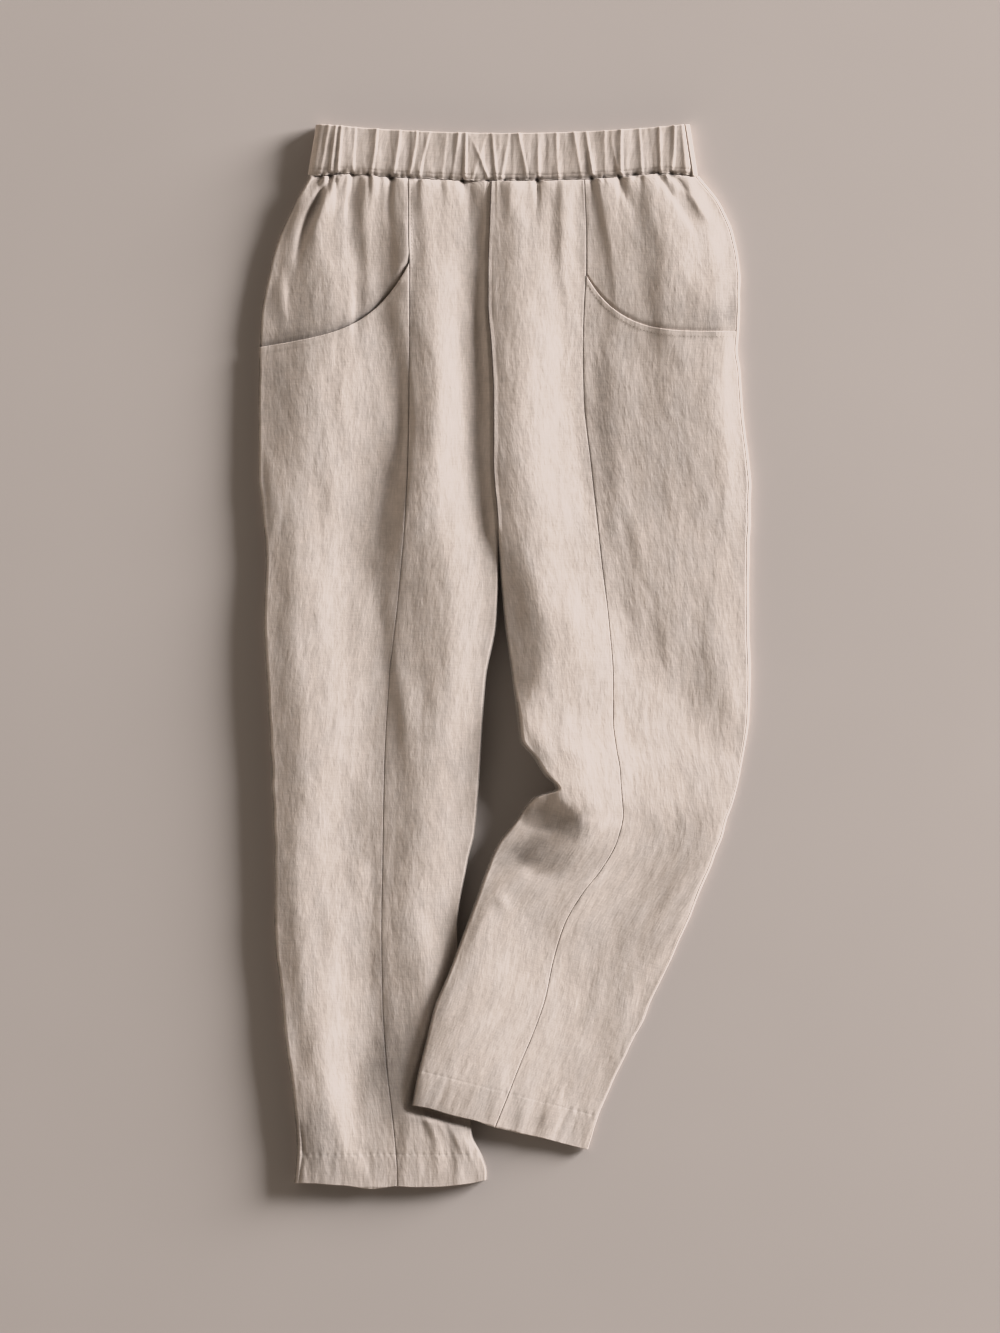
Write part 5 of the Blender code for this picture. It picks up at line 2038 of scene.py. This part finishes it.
@dataclass(frozen=True)
class Thread:
    """Spun thread, dull and darker than the cloth, with its twist as a fine bump.

    Attributes:
        name: the finish's name.
        colour: its mean colour.
    """

    name: str
    colour: tuple[float, float, float] = (0.27, 0.225, 0.185)

    def material(self) -> bpy.types.Material:
        """Build the finish: fine noise for the twist, which also paints shade between the plies.

        Returns:
            The material.
        """
        material = new_material(self.name)
        graph = Graph(material.node_tree)
        place = graph.add("ShaderNodeTexCoord").outputs["Object"]
        twist = graph.noise(place, (5200.0, 5200.0), 1.0)
        light = graph.math("MULTIPLY_ADD", twist, 0.35, 0.82)
        normal = graph.bump(twist, 0.00008, 0.6)
        graph.shade(graph.scaled(self.colour, light), normal, {"Roughness": 0.75, "Sheen Weight": 0.1})
        return material


# Studio

SENSOR = 36.0               # the camera's film, along its longer side


@dataclass(frozen=True)
class Studio:
    """A plain floor, one low soft light from the wearer's left, a weak fill, and a camera above.

    Attributes:
        floor_colour: of the plain floor.
        floor_reach: from the middle to its sides, in metres.
        camera_height: of the camera, in metres.
        view_height: how much of the floor it sees, top to bottom, in metres.
        centre: what it looks down on, in metres.
        lamp_distance: of the light, in metres.
        lamp_elevation: of the light above the floor, in degrees.
        lamp_azimuth: its bearing from the wearer's left towards the waist, in degrees.
        lamp_height_spread: its height as seen from the garment, in degrees.
        lamp_width_spread: its width as seen from there.
        lamp_power: in watts.
        lamp_colour: of the light.
        paper_white: the red, green and blue of the brightest highlights.
        fill: strength of the light from all round, low down.
        fill_overhead: its strength from overhead.
        fill_top: how high, as the sine of the elevation, it has faded to that.
        fill_lean: how much stronger it is from the wearer's left, and weaker from the right, or the
            other way round below zero.
        fill_colour: its colour.
    """

    floor_colour: tuple[float, float, float] = (0.490, 0.435, 0.411)
    floor_reach: float = 4.0
    camera_height: float = 6.0
    view_height: float = 1.2
    centre: tuple[float, float] = (-0.0045, -0.0088)
    lamp_distance: float = 12.0
    lamp_elevation: float = 11.4
    lamp_azimuth: float = 25.0
    lamp_height_spread: float = 17.0
    lamp_width_spread: float = 24.0
    lamp_power: float = 5000.0
    lamp_colour: tuple[float, float, float] = (0.985, 0.985, 0.985)
    paper_white: tuple[float, float, float] = (0.76, 0.665, 0.615)
    fill: float = 1.4
    fill_overhead: float = 0.02
    fill_top: float = 0.75
    fill_lean: float = -0.4
    fill_colour: tuple[float, float, float] = (1.0, 0.88, 0.74)

    def floor(self) -> None:
        """Lay the floor, with a barely uneven tone."""
        mesh = bpy.data.meshes.new("floor")
        side = self.floor_reach
        corners = [(-side, -side, 0.0), (side, -side, 0.0), (side, side, 0.0), (-side, side, 0.0)]
        mesh.from_pydata(corners, [], [(0, 1, 2, 3)])
        obj = bpy.data.objects.new("floor", mesh)
        bpy.context.scene.collection.objects.link(obj)
        material = new_material("floor")
        graph = Graph(material.node_tree)
        place = graph.add("ShaderNodeTexCoord").outputs["Object"]
        uneven = graph.math("MULTIPLY_ADD", graph.noise(place, (3.0, 3.0), 3.0), 0.08, 0.96)
        finish = {"Roughness": 0.95, "Specular IOR Level": 0.1}
        graph.shade(graph.scaled(self.floor_colour, uneven), None, finish)
        mesh.materials.append(material)

    def lamp(self) -> None:
        """Hang the one soft light far off and low, aimed at the middle of the garment."""
        data = bpy.data.lights.new("key", "AREA")
        data.shape = "RECTANGLE"
        data.size, data.size_y = (
            2.0 * self.lamp_distance * math.tan(math.radians(spread / 2.0))
            for spread in (self.lamp_height_spread, self.lamp_width_spread))
        data.energy = self.lamp_power
        data.color = self.lamp_colour
        obj = bpy.data.objects.new("key", data)
        bpy.context.scene.collection.objects.link(obj)
        rise, turn = math.radians(self.lamp_elevation), math.radians(self.lamp_azimuth)
        reach = self.lamp_distance * math.cos(rise)
        obj.location = (reach * math.cos(turn), reach * math.sin(turn), self.lamp_distance * math.sin(rise))
        obj.rotation_euler = (0.0, math.pi / 2.0 - rise, turn)

    def surround(self, world: bpy.types.World) -> None:
        """Light the scene from all round, strongly from low down and faintly from overhead.

        Args:
            world: what the scene stands in.
        """
        world.use_nodes = True
        graph = Graph(world.node_tree)
        place = graph.add("ShaderNodeTexCoord").outputs["Generated"]
        parts = graph.add("ShaderNodeSeparateXYZ", {0: place}).outputs
        level = graph.ramp(parts["Z"], (0.0, self.fill_top), (self.fill, self.fill_overhead), "SMOOTHSTEP")
        lean = graph.math("MULTIPLY_ADD", parts["X"], self.fill_lean, 1.0)
        background = world.node_tree.nodes["Background"].inputs
        background["Color"].default_value = (*self.fill_colour, 1.0)
        world.node_tree.links.new(graph.math("MULTIPLY", level, lean), background["Strength"])

    def shoulder(self, view: bpy.types.ColorManagedViewSettings) -> None:
        """Roll the highlights off gently to a warm white, as paper does.

        Args:
            view: the scene's colour settings.
        """
        view.use_curve_mapping = True
        view.curve_mapping.extend = "HORIZONTAL"
        for curve, white in zip(view.curve_mapping.curves, self.paper_white):
            curve.points[0].location = (0.0, 0.0)
            curve.points[1].location = (1.5, white)
            for place, level in ((0.25, 0.25), (0.75, 0.76), (1.0, 0.94), (1.22, 0.995)):
                curve.points.new(place * white, level * white)
        view.curve_mapping.update()

    def build(self) -> None:
        """Set up floor, lights, camera and colour."""
        self.floor()
        self.lamp()
        world = bpy.data.worlds.new("studio")
        self.surround(world)
        scene = bpy.context.scene
        scene.world = world
        scene.view_settings.view_transform = "Standard"
        self.shoulder(scene.view_settings)
        data = bpy.data.cameras.new("camera")
        data.sensor_width = SENSOR
        data.lens = SENSOR * self.camera_height / self.view_height
        camera = bpy.data.objects.new("camera", data)
        camera.location = (*self.centre, self.camera_height)
        scene.collection.objects.link(camera)
        scene.camera = camera


# Assembly

BAND_CUT = Cut(0.44, 0.047, 0.0207)
CUTS = {
    (Side.FRONT, "right"): Cut(0.10, 0.915, 0.076),
    (Side.FRONT, "left"): Cut(0.11, 0.860, 0.074),
    (Side.SIDE, "right"): Cut(0.15, 0.830, 0.095),
    (Side.SIDE, "left"): Cut(0.15, 0.770, 0.085),
    (Side.HIP, "right"): Cut(0.15, 0.175, 0.018),
    (Side.HIP, "left"): Cut(0.15, 0.165, 0.018),
    (Side.BACK, "right"): Cut(0.24, 0.915, 0.180),
    (Side.BACK, "left"): Cut(0.25, 0.860, 0.185),
}
STEPS = {Side.FRONT: 2.0, Side.SIDE: 2.0, Side.HIP: 1.4, Side.BACK: 3.0}    # pitch of each grid


@dataclass
class Trousers:
    """Every piece of the garment, dressed, attached to its body and logged.

    Attributes:
        linen: the cloth's finish.
        thread: that of the stitches.
    """

    linen: bpy.types.Material = field(init=False)
    thread: bpy.types.Material = field(init=False)

    def __post_init__(self) -> None:
        """Make the finishes."""
        self.linen = Linen("linen").material()
        self.thread = Thread("thread").material()

    def dress(self, obj: bpy.types.Object, cut: Cut,
              extras: Sequence[bpy.types.Object] = ()) -> None:
        """Give a piece of cloth its finish and say what it is.

        Args:
            obj: the piece, named after its solid with "_cloth" added.
            cut: its flat size.
            extras: the stitches on it.
        """
        obj.data.materials.append(self.linen)
        for extra in extras:
            extra.data.materials.append(self.thread)
            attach(extra, "root")
        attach(obj, "root")
        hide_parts(obj.name.removesuffix("_cloth"))
        area = sum(polygon.area for polygon in obj.data.polygons) / 2.0
        triangles = 2 * len(obj.data.polygons)
        log.info("%s: %d triangles, %.4f m2 a side, cut %.4f m2", obj.name, triangles, area, cut.area)

    def build(self) -> None:
        """Build every piece in order, from the waistband down."""
        for upper in (True, False):
            band = Waistband(upper, BAND_CUT)
            obj = band.build()
            obj.name = band.name + "_cloth"
            self.dress(obj, band.cut, [band.sew().build()])
        for half in (RIGHT, LEFT):
            for kind in Side:
                panel = Panel(half, kind, CUTS[kind, half.name], STEPS[kind])
                obj = panel.build()
                obj.name = panel.name + "_cloth"
                stitches = [] if kind is Side.HIP else [panel.sew().build()]
                self.dress(obj, panel.cut, stitches)


def main() -> None:
    """Build the garment and the studio round the frame."""
    logging.basicConfig(level=logging.INFO, format="%(name)s: %(message)s")
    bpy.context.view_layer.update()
    Trousers().build()
    Studio().build()


if __name__ == "__main__":
    main()
